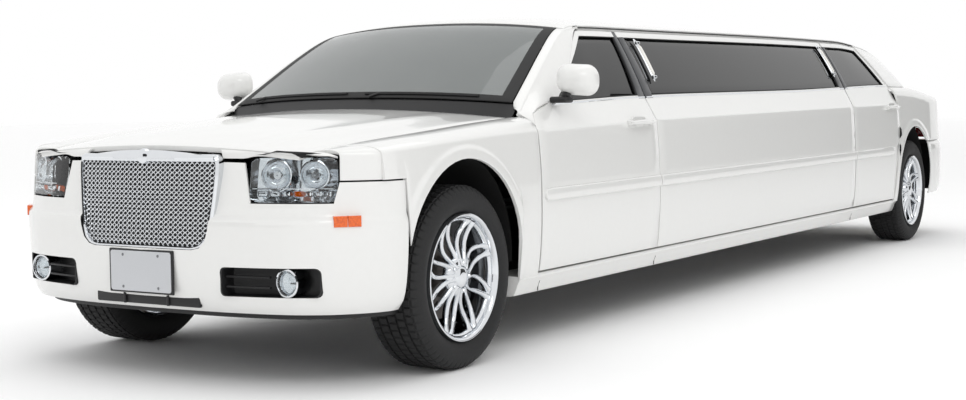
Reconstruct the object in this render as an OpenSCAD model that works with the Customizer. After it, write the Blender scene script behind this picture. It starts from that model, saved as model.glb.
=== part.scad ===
// Stretch limousine: a four-door saloon lengthened between its front and rear doors.
// The front of the car faces -Y, +X is its left side, and it stands on z = 0.

/* [Overall] */
// Distance between the front and rear axles
wheelbase = 6096; // [5080:1:7316]
// Nose of the front bumper to the front axle
front_overhang = 832; // [790:1:1000]
// Rear axle to the back of the rear bumper
rear_overhang = 1065; // [980:1:1280]
// Width over the body sides, without mirrors
body_w = 1882; // [1568:1:2259]
// Height of the roof above the ground
body_h = 1483; // [1420:1:1780]

/* [Wheels] */
// Tyre outside diameter
tyre_od = 728; // [606:1:760]
// Tyre width
tyre_w = 245; // [204:1:270]
// Rim diameter at the bead seat
rim_d = 508; // [424:1:560]
// Inset of the tyre's middle from the side of the body
wheel_inset = 141; // [130:1:170]
// Radius of the stub axles the wheels turn on
stub_r = 24; // [18:0.5:30]
// Radial running clearance of a wheel on its stub axle
stub_fit = 0.05; // [0.02:0.01:0.1]
// Radius of the wheel arches
arch_r = 405; // [395:1:486]
// Height of the wheel arch centres
arch_z = 425; // [400:1:460]

/* [Panels] */
// Thickness of pressed outer panels
skin_t = 4; // [3:0.5:5]
// Thickness of a door below its window
door_t = 92; // [70:1:110]
// Thickness of the window frames
frame_t = 36; // [28:1:44]
// Thickness of the fixed cabin walls
wall_t = 80; // [60:1:96]
// Glass thickness
glass_t = 5; // [4:0.5:6]
// Shut line between two panels
gap = 7; // [6:0.5:10]
// Shut line at the hinged edge of a door
hinge_gap = 10; // [9:0.5:14]

/* [Doors] */
// Front door: its front edge behind the front axle
front_door_y = 583; // [560:1:640]
// Front door: its length
front_door_l = 1162; // [970:1:1390]
// Rear door: its front edge ahead of the rear axle
rear_door_y = 1354; // [1250:1:1500]
// Height of the lower edge of the doors
door_z = 330; // [300:1:380]
// Hinge axis: distance inboard of the widest part of the body
hinge_in = 45; // [40:1:55]
// Hinge axis: distance behind the front edge of its door
hinge_back = 74; // [70:1:90]

/* [Steering] */
// Kingpin inset from the tyre's middle
kingpin_in = 72; // [60:1:90]
// Radius of the ball joint pins of the steering knuckles
ball_pin_r = 11; // [8:0.5:14]
// Steering wheel diameter
steering_d = 385; // [330:1:450]

/* [Cabin] */
// Height of the floor's upper face
floor_z = 290; // [270:1:320]
// Height of a seat cushion above the floor
seat_h = 290; // [240:1:350]

/* [Hidden] */
$fn = 48;

white = "white";
black = "dimgray";
chrome = "silver";
glass = "slategray";

hw = body_w / 2;
length = front_overhang + wheelbase + rear_overhang;
nose = -length / 2;
tail = length / 2;
fa = nose + front_overhang;
ra = fa + wheelbase;
wheel_z = tyre_od / 2;
wheel_x = hw - wheel_inset;

// ---- Small geometry helpers -------------------------------------------------------------

function unit(v) = v / norm(v);
function mix(a, b, t) = a + (b - a) * t;
function clamp(t, a = 0, b = 1) = max(a, min(b, t));
function flat(rows) = [for (r = rows) for (p = r) p];

// Index of the stretch of p that holds t
function seg(p, t, i = 0) = (i >= len(p) - 2 || t < p[i + 1][0]) ? i : seg(p, t, i + 1);

// Slope of the smooth curve through p at its point i
function slope(p, i) =
    let (n = len(p) - 1, a = max(i - 1, 0), b = min(i + 1, n))
    (i > 0 && i < n && (p[i][1] - p[a][1]) * (p[b][1] - p[i][1]) <= 0) ? 0
    : (p[b][1] - p[a][1]) / (p[b][0] - p[a][0]);

// Smooth curve through the points p = [[t, value], ...], held flat past its ends
function curve(p, t0) =
    let (t = clamp(t0, p[0][0], p[len(p) - 1][0]), i = seg(p, t),
         h = p[i + 1][0] - p[i][0], s = (t - p[i][0]) / h)
    p[i][1] * (1 + 2 * s) * (1 - s) * (1 - s) + h * slope(p, i) * s * (1 - s) * (1 - s)
    + p[i + 1][1] * s * s * (3 - 2 * s) - h * slope(p, i + 1) * s * s * (1 - s);

// Points moved along the first value by d, to hang a curve on an axle
function at(p, d) = [for (q = p) [q[0] + d, q[1]]];

// The grid's face normal at row i, column j
function grid_normal(g, i, j) =
    let (n = len(g) - 1, m = len(g[0]) - 1)
    unit(cross(g[min(i + 1, n)][j] - g[max(i - 1, 0)][j], g[i][min(j + 1, m)] - g[i][max(j - 1, 0)]));

// The grid moved inward by t
function sunk(g, t) =
    [for (i = [0 : len(g) - 1]) [for (j = [0 : len(g[0]) - 1]) g[i][j] - t * grid_normal(g, i, j)]];

// Closed solid between an outer and an inner grid of the same size. hole = [i0, i1, j0, j1]
// leaves out the cells between those rows and columns, as a window right through it.
module between(outer, inner, hole = [0, 0, 0, 0]) {
    n = len(outer);
    m = len(outer[0]);
    k = n * m;
    i0 = hole[0];
    i1 = hole[1];
    j0 = hole[2];
    j1 = hole[3];
    function id(i, j) = i * m + j;
    function open(i, j) = i >= i0 && i < i1 && j >= j0 && j < j1;
    function wall(a, b) = [[a, a + k, b], [b, a + k, b + k]];
    skins = [for (i = [0 : n - 2]) for (j = [0 : m - 2]) if (!open(i, j))
        let (a = id(i, j), b = id(i + 1, j), c = id(i + 1, j + 1), d = id(i, j + 1))
        each [[a, d, c], [a, c, b], [a + k, c + k, d + k], [a + k, b + k, c + k]]];
    sides = [for (j = [0 : m - 2]) each concat(wall(id(0, j), id(0, j + 1)), wall(id(n - 1, j + 1), id(n - 1, j)))];
    ends = [for (i = [0 : n - 2]) each concat(wall(id(i + 1, 0), id(i, 0)), wall(id(i, m - 1), id(i + 1, m - 1)))];
    reveals = i1 <= i0 ? [] : concat(
        [for (j = [j0 : j1 - 1]) each concat(wall(id(i0, j + 1), id(i0, j)), wall(id(i1, j), id(i1, j + 1)))],
        [for (i = [i0 : i1 - 1]) each concat(wall(id(i, j0), id(i + 1, j0)), wall(id(i + 1, j1), id(i, j1)))]);
    polyhedron(points = concat(flat(outer), flat(inner)), faces = concat(skins, sides, ends, reveals));
}

// A pressed sheet whose outer face is the grid
module sheet(g, t = skin_t) {
    between(g, sunk(g, t));
}

module both_sides() {
    children();
    mirror([1, 0, 0]) children();
}

// Rounded bar between two points
module rod(a, b, r) {
    d = b - a;
    translate(a)
        rotate([0, acos(d[2] / norm(d)), atan2(d[1], d[0])])
            cylinder(r = r, h = norm(d));
}

// ---- Body surfaces ----------------------------------------------------------------------

// How far the side of the body stands in from its widest line, along the car
SIDE_FRONT = [[-700, 96], [-600, 52], [-480, 24], [-340, 9], [-150, 1], [0, 0]];
SIDE_REAR = [[300, 0], [500, 7], [700, 28], [850, 62], [960, 110]];
function side_in(y) = curve(at(SIDE_FRONT, fa), y) + curve(at(SIDE_REAR, ra), y);

// Shoulder crease and belt line heights along the car
function along(p, q) = concat(at(p, fa), at(q, ra));
CREASE = along([[-600, 862], [0, 900], [600, 918], [1700, 946]], [[-2700, 966], [-1300, 980], [600, 992]]);
BELT = along([[500, 1010], [760, 1026], [1670, 1054]], [[-2190, 1080], [-1340, 1098], [-500, 1112], [500, 1108]]);
function crease_z(y) = curve(CREASE, y);
function belt_z(y) = curve(BELT, y);
crease_in = 16;
belt_in = 78;

// Half-width of the side below the belt line
function side_x(y, z) =
    let (zc = crease_z(y), zb = belt_z(y),
         low = [[240, 42], [310, 22], [430, 7], [600, 0], [760, 3], [zc, crease_in]],
         high = [[zc, crease_in], [zc + 14, crease_in + 9], [zb, belt_in]])
    hw - side_in(y) - (z <= zc ? curve(low, z) : curve(high, z));

// The rail, where the glasshouse side meets the windshield, roof and rear window
RAIL_IN = along([[600, 132], [800, 172], [1000, 214], [1180, 254], [1320, 276], [1500, 286], [2000, 288]],
                [[-1500, 288], [-600, 286], [-250, 288], [0, 280], [250, 262], [470, 238]]);
RAIL_DROP = along([[600, 470], [800, 345], [1000, 222], [1180, 126], [1320, 88], [1500, 78], [2000, 73]],
                  [[-1500, 54], [-1000, 54], [-600, 72], [-250, 108], [0, 168], [250, 262], [470, 372]]);
TOP_DROP = along([[600, 440], [800, 310], [1000, 184], [1180, 88], [1320, 46], [1500, 24], [1750, 6], [2050, 0]],
                 [[-1300, 0], [-900, 6], [-600, 18], [-250, 56], [0, 118], [250, 226], [470, 350]]);
TOP_BOW = along([[600, -135], [1250, -75], [1900, 0]], [[-900, 0], [-250, 45], [470, 90]]);
function rail_x(y) = hw - curve(RAIL_IN, y);
function rail_z(y) = body_h - curve(RAIL_DROP, y);

// Windshield, roof and rear window: u runs across from -1 to 1, y is the place on the rail
function top_pt(u, y) =
    [u * rail_x(y),
     y + curve(TOP_BOW, y) * (1 - u * u),
     rail_z(y) + (curve(RAIL_DROP, y) - curve(TOP_DROP, y)) * (1 - pow(abs(u), 2.3))];

// Half-width of the glasshouse side between the belt line and the rail
function house_x(y, z) =
    let (zb = belt_z(y), t = clamp((z - zb) / max(rail_z(y) - zb, 1)))
    mix(hw - side_in(y) - belt_in, rail_x(y), t) + 42 * t * (1 - t);
function wall_x(y, z) = z < belt_z(y) ? side_x(y, z) : house_x(y, z);

// Hood: u across, seam with the fenders at u = 1
HOOD_IN = [[-790, 300], [-700, 280], [-400, 250], [0, 214], [300, 188], [640, 162]];
HOOD_Z = [[-790, 846], [-700, 866], [-400, 905], [0, 938], [300, 962], [640, 984]];
HOOD_CROWN = [[-790, 38], [-700, 34], [-400, 40], [0, 46], [300, 48], [640, 44]];
hood_front = fa - 700;
hood_rear = fa + 590;
function seam_x(y) = hw - curve(at(HOOD_IN, fa), y);
function seam_z(y) = curve(at(HOOD_Z, fa), y);
function hood_pt(u, y, bow) =
    let (yy = y - bow * (1 - u * u))
    [u * seam_x(y), yy, seam_z(y) + curve(at(HOOD_CROWN, fa), y) * (1 - u * u)];

// Fender: t = 0 at the hood seam, 1 at the crease
function fender_top(y, t) =
    let (a = [seam_x(y) + gap, seam_z(y)], c = [hw - side_in(y) - crease_in, crease_z(y)],
         m = [c[0] - 22, max(a[1], c[1]) + 16])
    let (q = a * (1 - t) * (1 - t) + m * 2 * t * (1 - t) + c * t * t)
    [q[0], y, q[1]];

// Nose outline in plan, from the middle to the wheel arch: width, distance behind the nose
NOSE_X = [[0, 0], [0.2, 0.36], [0.4, 0.64], [0.55, 0.79], [0.68, 0.885], [0.8, 0.948], [0.9, 0.98], [1, 0.992]];
NOSE_Y = [[0, 0], [0.2, 16], [0.4, 68], [0.55, 138], [0.68, 222], [0.8, 304], [0.9, 370], [1, 424]];
NOSE_SET = [[285, 52], [330, 24], [450, 6], [600, 0], [628, 4], [646, 30], [700, 44], [880, 74]];
function nose_pt(s, z) =
    let (b0 = curve(NOSE_SET, z), fade = 1 - 0.85 * clamp((s - 0.5) / 0.3),
         b = z > 628 ? 4 + (b0 - 4) * fade : b0, c = curve(NOSE_Y, s))
    [hw * curve(NOSE_X, s) - b * s * s, nose + c + b * (1 - s * s), z];

// Tail outline in plan, from the middle to the wheel arch: width, distance ahead of the tail
TAIL_X = [[0, 0], [0.25, 0.40], [0.45, 0.70], [0.6, 0.86], [0.74, 0.95], [0.87, 0.99], [1, 1]];
TAIL_Y = [[0, 0], [0.25, 12], [0.45, 52], [0.6, 120], [0.74, 235], [0.87, 420], [1, 640]];
TAIL_SET = [[320, 60], [370, 20], [480, 2], [640, 0], [690, 14], [712, 50], [900, 64], [1000, 84]];
function tail_pt(s, z) =
    let (b = curve(TAIL_SET, z))
    [hw * curve(TAIL_X, s) - b * s * s * 0.5, tail - curve(TAIL_Y, s) - b * (1 - s * s), z];

// ---- Grid builders ----------------------------------------------------------------------

function steps(a, b, n) = [for (i = [0 : n]) mix(a, b, i / n)];

// Columns between two edges of a wall, with a rim of wa and wb beside its window
function columns(a, b, wa, wb, n) = concat([a], steps(a + wa, b - wb, n), [b]);

sill_rows = 5;
window_row = sill_rows + 4;
window_rows = 3;

// Outer grid of a wall with a window. Below the belt its edges are the curves low0 and low1
// over height, above it they run straight up to the rail at top. rim = [low, low, top, top].
function wall_grid(low0, low1, top, rim, z0, n) =
    let (yb = columns(low0[len(low0) - 1][1], low1[len(low1) - 1][1], rim[0], rim[1], n),
         yt = columns(top[0], top[1], rim[2], rim[3], n))
    [for (k = [0 : n + 2])
        let (f = (yb[k] - yb[0]) / (yb[n + 2] - yb[0]), zc = crease_z(yb[k]), zb = belt_z(yb[k]),
             zt = rail_z(yt[k]) - rail_gap)
        concat([for (z = concat(steps(z0, zc - 4, sill_rows - 1), [zc + 10, zb - 40, zb - 16, zb]))
                    let (y = mix(curve(low0, z), curve(low1, z), f))
                    [side_x(y, z), y, z]],
               [for (z = concat(steps(zb + 14, zt - win_top, window_rows), [zt]))
                    let (y = mix(yb[k], yt[k], (z - zb) / (zt - zb)))
                    [house_x(y, z), y, z]])];
function window_hole(n) = [1, n + 1, window_row, window_row + window_rows];

// Inner grid of the same wall: in by the wall, and short on each edge by
// taper = [front, back, bottom, top]
function wall_inner(g, deep, thin, taper) =
    let (n = len(g) - 1, m = len(g[0]) - 1)
    [for (i = [0 : n]) [for (j = [0 : m])
        let (p = g[i][j], t = clamp((p[2] - belt_z(p[1]) + 60) / 90),
             dy = i == 0 ? taper[0] : i == n ? -taper[1] : 0,
             dz = j == 0 ? taper[2] : j == m ? -taper[3] : 0)
        [p[0] - mix(deep, thin, t), p[1] + dy, p[2] + dz]]];
DOOR_TAPER = [24, 24, 24, 20];
// The centre wall is cut back at the hinges of the rear door, whose front edge swings in there
CENTRE_TAPER = [1, 60, 1, 20];

// Wall or door on the side of the car, and the glass that fills its window
module side_wall(low0, low1, top, rim, z0, n, deep, taper) {
    g = wall_grid(low0, low1, top, rim, z0, n);
    between(g, wall_inner(g, deep, frame_t, taper), window_hole(n));
}
glass_in = 15;
module pane(low0, low1, top, rim, z0, n) {
    g = wall_grid(low0, low1, top, rim, z0, n);
    w = [for (i = [1 : n + 1]) [for (j = [window_row : window_row + window_rows])
        let (p = g[i][j], dy = i == 1 ? 2.5 : i == n + 1 ? -2.5 : 0,
             dz = j == window_row ? 1.5 : j == window_row + window_rows ? -1.5 : 0)
        p + [-glass_in, dy, dz]]];
    between(w, [for (r = w) [for (q = r) q - [glass_t, 0, 0]]]);
}

// ---- Door and window outlines -----------------------------------------------------------

fd0 = fa + front_door_y;
fd1 = fd0 + front_door_l;
rd0 = ra - rear_door_y;
win_top = 28;
rail_gap = 24;
lean = 50;

FD_FRONT = [[300, fd0], [930, fd0], [985, fd0 + 24], [1012, fd0 + 100], [1032, fd0 + 196]];
FD_REAR = [[300, fd1], [1060, fd1]];
FD_TOP = [fd0 + 790, fd1 + lean];
FD_RIM = [62, 72, 56, 34];
FD_N = 7;

RD_FRONT = [[300, rd0], [1100, rd0]];
RD_REAR = [[300, ra - 470], [450, ra - 462], [600, ra - 438], [720, ra - 396], [820, ra - 366],
           [950, ra - 378], [1110, ra - 430]];
RD_TOP = [rd0 + lean, ra - 620];
RD_RIM = [62, 56, 40, 50];
RD_N = 6;

CP_FRONT = [[300, fd1 + gap], [1060, fd1 + gap]];
CP_REAR = [[300, rd0 - hinge_gap], [1100, rd0 - hinge_gap]];
CP_TOP = [fd1 + lean + gap, rd0 + lean - hinge_gap];
CP_RIM = [84, 84, 60, 60];
CP_N = 12;

// ---- Outer panels -----------------------------------------------------------------------

module hood() color(white) {
    n = 14;
    g = [for (i = [0 : n]) [for (k = [0 : 12])
        let (u = 1 - 2 * k / 12, y = mix(hood_front, hood_rear, i / n))
        hood_pt(u, y, mix(45, 150, i / n))]];
    sheet(g, 22);
}

// Behind the headlamp the fender reaches forward to this place
lamp_back = 515;
// Lower edge of the fender ahead of the wheel, where it meets the bumper
wing_z = 772;
module front_fender() {
    stations = [for (d = [-700, -620, -500, -380, -240, -80, 80, 240, 400, front_door_y - hinge_gap]) fa + d];
    difference() {
        union() {
            sheet([for (y = stations)
                concat([for (z = steps(door_z - 20, crease_z(y) - 6, 8)) [side_x(y, z), y, z]],
                       [for (t = steps(0.97, 0, 7)) fender_top(y, t)])]);
        }
        translate([0, fa, arch_z])
            rotate([0, 90, 0])
                cylinder(r = arch_r, h = hw + 50, $fn = 96);
        translate([0, fa - 900, 0])
            cube([hw + 50, 900 - arch_r * 0.96, wing_z]);
        translate([0, fa - 900, 500])
            cube([hw + 50, 900 - lamp_back, 500]);
    }
    fender_corner();
}
// The corner of the fender beside the headlamp, up to the hood seam
module fender_corner() {
    sheet([for (s = steps(0.845, 0.63, 6))
        let (c = nose_pt(s, 862), a = [seam_x(c[1]) + gap, c[1], seam_z(c[1])])
        concat([for (z = steps(wing_z, 862, 3)) nose_pt(s, z)],
               [for (t = steps(0.2, 1, 4)) mix(c, a, t) + [0, 0, 10 * 4 * t * (1 - t)]])]);
}
module front_fenders() color(white) both_sides() front_fender();

fog_z = 405;
function bumper_top(s) = abs(s) < 0.275 ? 842 - 60 * s * s : abs(s) < 0.63 ? 690 : wing_z - 8;
module front_bumper() color(white) {
    n = 24;
    g = [for (k = [0 : 2 * n]) let (s = (k - n) / n)
        [for (z = concat(steps(285, 600, 5), steps(628, bumper_top(s), 4)))
            let (p = nose_pt(abs(s), z)) [sign(s) * p[0], p[1], p[2]]]];
    difference() {
        sheet(g, 6);
        translate([-355, nose - 100, 505])
            cube([710, 300, 500]);
        both_sides()
            translate([370, nose - 100, fog_z - 52])
                cube([370, 330, 104]);
        translate([-330, nose - 100, 300])
            cube([660, 200, 40]);
        plate_bolts(nose, front_plate_z, plate_r + 2, 60);
    }
}

module grille() color(chrome) {
    outline = [[-345, 850], [345, 850], [350, 800], [318, 580], [270, 515], [-270, 515], [-318, 580], [-350, 800]];
    front = nose + 26;
    difference() {
        translate([0, front + 62, 0])
            rotate([90, 0, 0])
                linear_extrude(height = 62)
                    polygon(outline);
        translate([0, front + 100, 684])
            rotate([90, 0, 0])
                linear_extrude(height = 200)
                    scale([0.92, 0.86])
                        translate([0, -684])
                            polygon(outline);
    }
    for (x = [-300 : 50 : 300])
        translate([x - 4, front + 24, 540])
            cube([8, 14, 282]);
    for (z = [560 : 48 : 820])
        translate([-326, front + 26, z - 4])
            cube([652, 10, 8]);
}

// Lamp body on the nose surface between two places s and two heights
module nose_lamp(s0, s1, z0, z1, deep, n = 6) {
    g = [for (s = steps(s0, s1, n)) [for (z = steps(z0, z1, 3)) nose_pt(s, z) + [0, 3, 0]]];
    between(g, [for (r = g) [for (p = r) p + [-deep * 0.25, deep, 0]]]);
}
module headlamps() color(glass) both_sides() nose_lamp(0.30, 0.61, 700, 842, 90);

module fog_lamps() color(glass) both_sides()
    translate([610, nose + 165, fog_z])
        rotate([90, 0, 0])
            cylinder(r = 46, h = 60);

plate_w = 305;
plate_h = 152;
// Plate bolts: spacing across, spacing up, hole radius
plate_dx = 178;
plate_dz = 121;
plate_r = 3.5;
module blank_plate(y, z) {
    difference() {
        translate([-plate_w / 2, y, z - plate_h / 2])
            cube([plate_w, 4, plate_h]);
        plate_bolts(y, z, plate_r, 15);
    }
}
module plate_bolts(y, z, r, deep) {
    for (i = [-1, 1])
        for (k = [-1, 1])
            translate([i * plate_dx / 2, y - 5, z + k * plate_dz / 2])
                rotate([-90, 0, 0])
                    cylinder(r = r, h = deep + 5, $fn = 32);
}
front_plate_z = 428;
rear_plate_z = 830;
module front_plate() color("lightgray") blank_plate(nose - 2.5, front_plate_z);
module rear_plate() color("lightgray") blank_plate(tail - 60, rear_plate_z);

module windshield() color(glass) {
    g = [for (y = steps(fa + 647, fa + 1262, 8)) [for (k = [0 : 12]) top_pt((1 - k / 6) * 0.955, y)]];
    sheet(g, glass_t);
}

module roof() color(white) {
    roof0 = fa + 1272;
    roof1 = ra - 262;
    stations = concat(steps(roof0, fa + 2050, 6), [fa + 3000], steps(ra - 1500, roof1, 7));
    sheet([for (y = stations) [for (k = [0 : 16]) top_pt(1 - k / 8, y)]], 28);
    both_sides() a_pillar();
    both_sides() d_pillar();
}
// Windshield pillar, from the cowl up to the roof, beside the glass
module a_pillar() {
    between([for (y = steps(fa + 634, fa + 1276, 8)) [pillar_out(y), top_pt(0.962, y)]],
            [for (y = steps(fa + 634, fa + 1276, 8)) [pillar_out(y) - [34, 0, 30], top_pt(0.962, y) - [20, 0, 40]]]);
}
function pillar_out(y) = [rail_x(y) + 14, y, rail_z(y) - 14];
module d_pillar() {
    between([for (y = steps(ra - 268, ra + 430, 8)) [pillar_out(y), top_pt(0.962, y)]],
            [for (y = steps(ra - 268, ra + 430, 8)) [pillar_out(y) - [34, 0, 20], top_pt(0.962, y) - [20, 0, 30]]]);
}

module centre_panels() color(white) both_sides()
    side_wall(CP_FRONT, CP_REAR, CP_TOP, CP_RIM, door_z - 20, CP_N, wall_t, CENTRE_TAPER);

module fixed_windows() color(glass) {
    both_sides() pane(CP_FRONT, CP_REAR, CP_TOP, CP_RIM, door_z - 20, CP_N);
    sheet([for (y = steps(ra - 250, ra + 455, 8)) [for (k = [0 : 12]) top_pt((1 - k / 6) * 0.955, y)]], glass_t);
}

// Inner edge of the rear shoulder: foot of the rear pillar, then the seam of the trunk lid
DECK_IN = [[-440, 80], [-200, 84], [60, 110], [260, 170], [430, 232], [520, 250], [960, 262]];
DECK_Z = [[-440, 1112], [0, 1112], [430, 1106], [560, 1090], [960, 1064]];
function deck_pt(y) = [hw - curve(at(DECK_IN, ra), y), y, curve(at(DECK_Z, ra), y)];
// Rear shoulder: t = 0 at the crease, 1 at the inner edge
function shoulder(y, t) =
    let (a = [side_x(y, crease_z(y)), y, crease_z(y)], c = deck_pt(y), m = [a[0] - 10, y, max(a[2] + 30, c[2] - 6)])
    a * (1 - t) * (1 - t) + m * 2 * t * (1 - t) + c * t * t;
quarter_end = tail - 122;
edge_gap = gap + 4;

module quarter_panel() {
    difference() {
        sheet([for (k = [0 : 14])
            let (ym = mix(ra - 380, quarter_end, k / 14))
            concat([for (z = steps(door_z - 20, crease_z(ym) - 5, 7))
                        let (y = mix(curve(RD_REAR, z) + edge_gap, quarter_end, k / 14)) [side_x(y, z), y, z]],
                   [for (t = steps(0.04, 1, 6))
                        let (y = mix(curve(RD_REAR, mix(992, 1110, t)) + edge_gap, quarter_end, k / 14)) shoulder(y, t)])]);
        translate([0, ra, arch_z])
            rotate([0, 90, 0])
                cylinder(r = arch_r, h = hw + 50, $fn = 96);
        translate([0, ra + arch_r * 0.9, 0])
            cube([hw + 50, 1200, bumper_top_z + 4]);
    }
    sail();
}
// The panel beside the rear window, from the shoulder up to the rail
SAIL_TOP = ra - 600;
module sail() {
    sheet([for (k = [0 : 10])
        let (t = k / 10, y1 = mix(SAIL_TOP, ra + 436, t), foot = deck_pt(mix(ra - 420, ra + 440, t)) + [-2, 0, 3])
        [for (h = steps(0, 1, 4))
            let (q = mix(foot, [rail_x(y1) + 14, y1, rail_z(y1) - 42], h)) q + [34 * 4 * h * (1 - h) * (1 - t) * 0.5, 0, 0]]], 18);
}
module quarter_panels() color(white) both_sides() quarter_panel();

module sills() color(white) both_sides() {
    g = [for (y = steps(fa + arch_r + 8, ra - arch_r - 8, 12))
        [for (z = [236, 262, 300, door_z - 20 - gap]) [side_x(y, max(z, 250)) + (z < 300 ? -4 : 0), y, z]]];
    between(g, [for (r = g) [for (p = r) [hw - 190, p[1], p[2]]]]);
}

module trunk_lid() color(white) {
    lid0 = ra + 505;
    x_at = hw - 268;
    n = 10;
    g = [for (k = [0 : n]) let (u = 1 - 2 * k / n, x = u * x_at, crown = 26 * (1 - u * u))
        concat([for (z = steps(745, 1000, 4)) [x, tail - 66 - 40 * u * u - 0.1 * (z - 745), z]],
               [for (t = steps(0, 1, 5)) [x, mix(tail - 128 - 40 * u * u, lid0 + 95 * (1 - u * u), t),
                    1068 + crown + 14 * t + 22 * (t == 0 ? -1 : 0)]])];
    sheet(g, 22);
}

bumper_top_z = 712;
// How far round the corner the rear bumper reaches, where 1 is the wheel arch
bumper_reach = 0.985;
module rear_bumper() color(white) {
    n = 20;
    g = [for (k = [0 : 2 * n]) let (s = (n - k) / n * bumper_reach)
        [for (z = concat(steps(320, 640, 5), steps(685, bumper_top_z, 2)))
            let (p = tail_pt(abs(s), z)) [sign(s) * p[0], p[1], p[2]]]];
    sheet(g, 6);
}

module tail_lamps() color("firebrick") both_sides() {
    g = [for (s = steps(0.68, 0.487, 6)) [for (z = steps(726, 985, 3)) tail_pt(s, z)]];
    between(g, [for (r = g) [for (p = r) p + [-12, -60, 0]]]);
}

// ---- Doors ------------------------------------------------------------------------------

module front_door() {
    side_wall(FD_FRONT, FD_REAR, FD_TOP, FD_RIM, door_z, FD_N, door_t, DOOR_TAPER);
    handle(fd1 - 320, 940);
}
module rear_door() {
    side_wall(RD_FRONT, RD_REAR, RD_TOP, RD_RIM, door_z, RD_N, door_t, DOOR_TAPER);
    handle(ra - 660, 972);
}
// Pull handle: a bar on two feet
module handle(y, z) {
    x = side_x(y + 120, z);
    for (d = [20, 220])
        translate([x - 20, y + d - 12, z - 9])
            cube([40, 24, 18]);
    translate([x + 20, y, z - 12])
        cube([14, 240, 24]);
}

module front_left_door() color(white) front_door();
module front_right_door() color(white) mirror([1, 0, 0]) front_door();
module rear_left_door() color(white) rear_door();
module rear_right_door() color(white) mirror([1, 0, 0]) rear_door();
module front_left_window() color(glass) pane(FD_FRONT, FD_REAR, FD_TOP, FD_RIM, door_z, FD_N);
module front_right_window() color(glass) mirror([1, 0, 0])
    pane(FD_FRONT, FD_REAR, FD_TOP, FD_RIM, door_z, FD_N);
module rear_left_window() color(glass) pane(RD_FRONT, RD_REAR, RD_TOP, RD_RIM, door_z, RD_N);
module rear_right_window() color(glass) mirror([1, 0, 0])
    pane(RD_FRONT, RD_REAR, RD_TOP, RD_RIM, door_z, RD_N);

module door_mirror() {
    y = fd0 + 250;
    zb = belt_z(y) + 26;
    x = wall_x(y, zb);
    translate([x + 9, y - 45, zb - 12])
        cube([75, 70, 34]);
    translate([x + 118, y + 4, zb + 62])
        scale([1, 0.6, 0.66])
            sphere(r = 98);
}
module left_mirror() color(white) door_mirror();
module right_mirror() color(white) mirror([1, 0, 0]) door_mirror();

// ---- Underbody --------------------------------------------------------------------------

tub_x = hw - 192;
firewall_y = fa + 470;
tunnel_w = 300;
tunnel_end = fa + 1390;
boot_floor = floor_z + 150;
module floor_pan() color(black) {
    difference() {
        union() {
            translate([-tub_x, firewall_y, floor_z - 40])
                cube([2 * tub_x, ra - 480 - firewall_y, 40]);
            translate([-tub_x, firewall_y - 30, floor_z - 40])
                cube([2 * tub_x, 30, 640]);
            translate([-tunnel_w / 2 - 20, firewall_y, floor_z - 40])
                cube([tunnel_w + 40, tunnel_end - firewall_y, 240]);
        }
        translate([-tunnel_w / 2, firewall_y - 40, floor_z - 60])
            cube([tunnel_w, tunnel_end - firewall_y + 20, 240]);
    }
    both_sides() {
        translate([330, nose + 150, floor_z + 60])
            cube([70, firewall_y - 30 - nose - 150, 110]);
        translate([400, ra - 482, boot_floor - 62])
            cube([80, tail - 160 - ra + 482, 60]);
    }
    translate([-480, ra - 480, floor_z - 40])
        cube([960, 30, 190]);
    translate([-480, ra - 480, boot_floor - 40])
        cube([960, tail - 160 - ra + 480, 40]);
}

module subframes() color(black) {
    both_sides() {
        translate([300, fa - 250, 200])
            cube([90, 500, 89]);
        rod([385, fa - 160, 232], [wheel_x - kingpin_in - 42, fa, 206], 18);
        rod([385, fa + 160, 232], [wheel_x - kingpin_in - 42, fa, 206], 18);
        rear_carrier();
    }
    for (d = [-230, 160])
        translate([-310, fa + d, 205])
            cube([620, 70, 60]);
    translate([-400, ra - 200, 262])
        cube([800, 60, 70]);
    translate([-400, ra + 140, 262])
        cube([800, 60, 70]);
}
// Rear hub carrier with its arms and the stub axle of the wheel
module rear_carrier() {
    hub_in = wheel_x - 130;
    translate([hub_in, ra, wheel_z])
        rotate([0, 90, 0])
            cylinder(r = stub_r, h = 150);
    translate([hub_in - 40, ra - 70, wheel_z - 110])
        cube([50, 140, 220]);
    rod([380, ra - 170, 296], [hub_in - 30, ra - 30, wheel_z - 70], 16);
    rod([380, ra + 170, 296], [hub_in - 30, ra + 30, wheel_z - 70], 16);
}

shaft_z = 205;
diff_y = ra - 20;
module driveline() color("gray") {
    rod([0, fa + 312, 340], [0, fa + 720, 330], 118);
    rod([0, fa + 700, 330], [0, fa + 1040, 322], 84);
    rod([0, fa + 1030, 300], [0, fa + 1330, shaft_z], 32);
    rod([0, fa + 1320, shaft_z], [0, ra - 300, shaft_z], 34);
    rod([0, ra - 310, shaft_z], [0, diff_y - 100, shaft_z + 20], 30);
    translate([-120, diff_y - 110, 205])
        cube([240, 230, 190]);
    both_sides()
        rod([115, ra, 320], [wheel_x - 175, ra, wheel_z], 18);
}

module engine() color("gray") {
    translate([-270, fa - 330, 330])
        cube([540, 640, 440]);
}

exhaust_x = 185;
tail_pipe_x = 560;
module exhaust() color(chrome) both_sides() {
    rod([exhaust_x, fa + 640, 215], [exhaust_x, ra + 420, 215], 28);
    translate([exhaust_x - 40, ra + 400, 180])
        cube([tail_pipe_x + 80 - exhaust_x, 340, 140]);
    rod([tail_pipe_x, ra + 720, 262], [tail_pipe_x, tail - 40, 262], 34);
}

module fuel_tank() color(black) both_sides()
    translate([230, ra - 960, 160])
        cube([250, 420, 84]);

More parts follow.
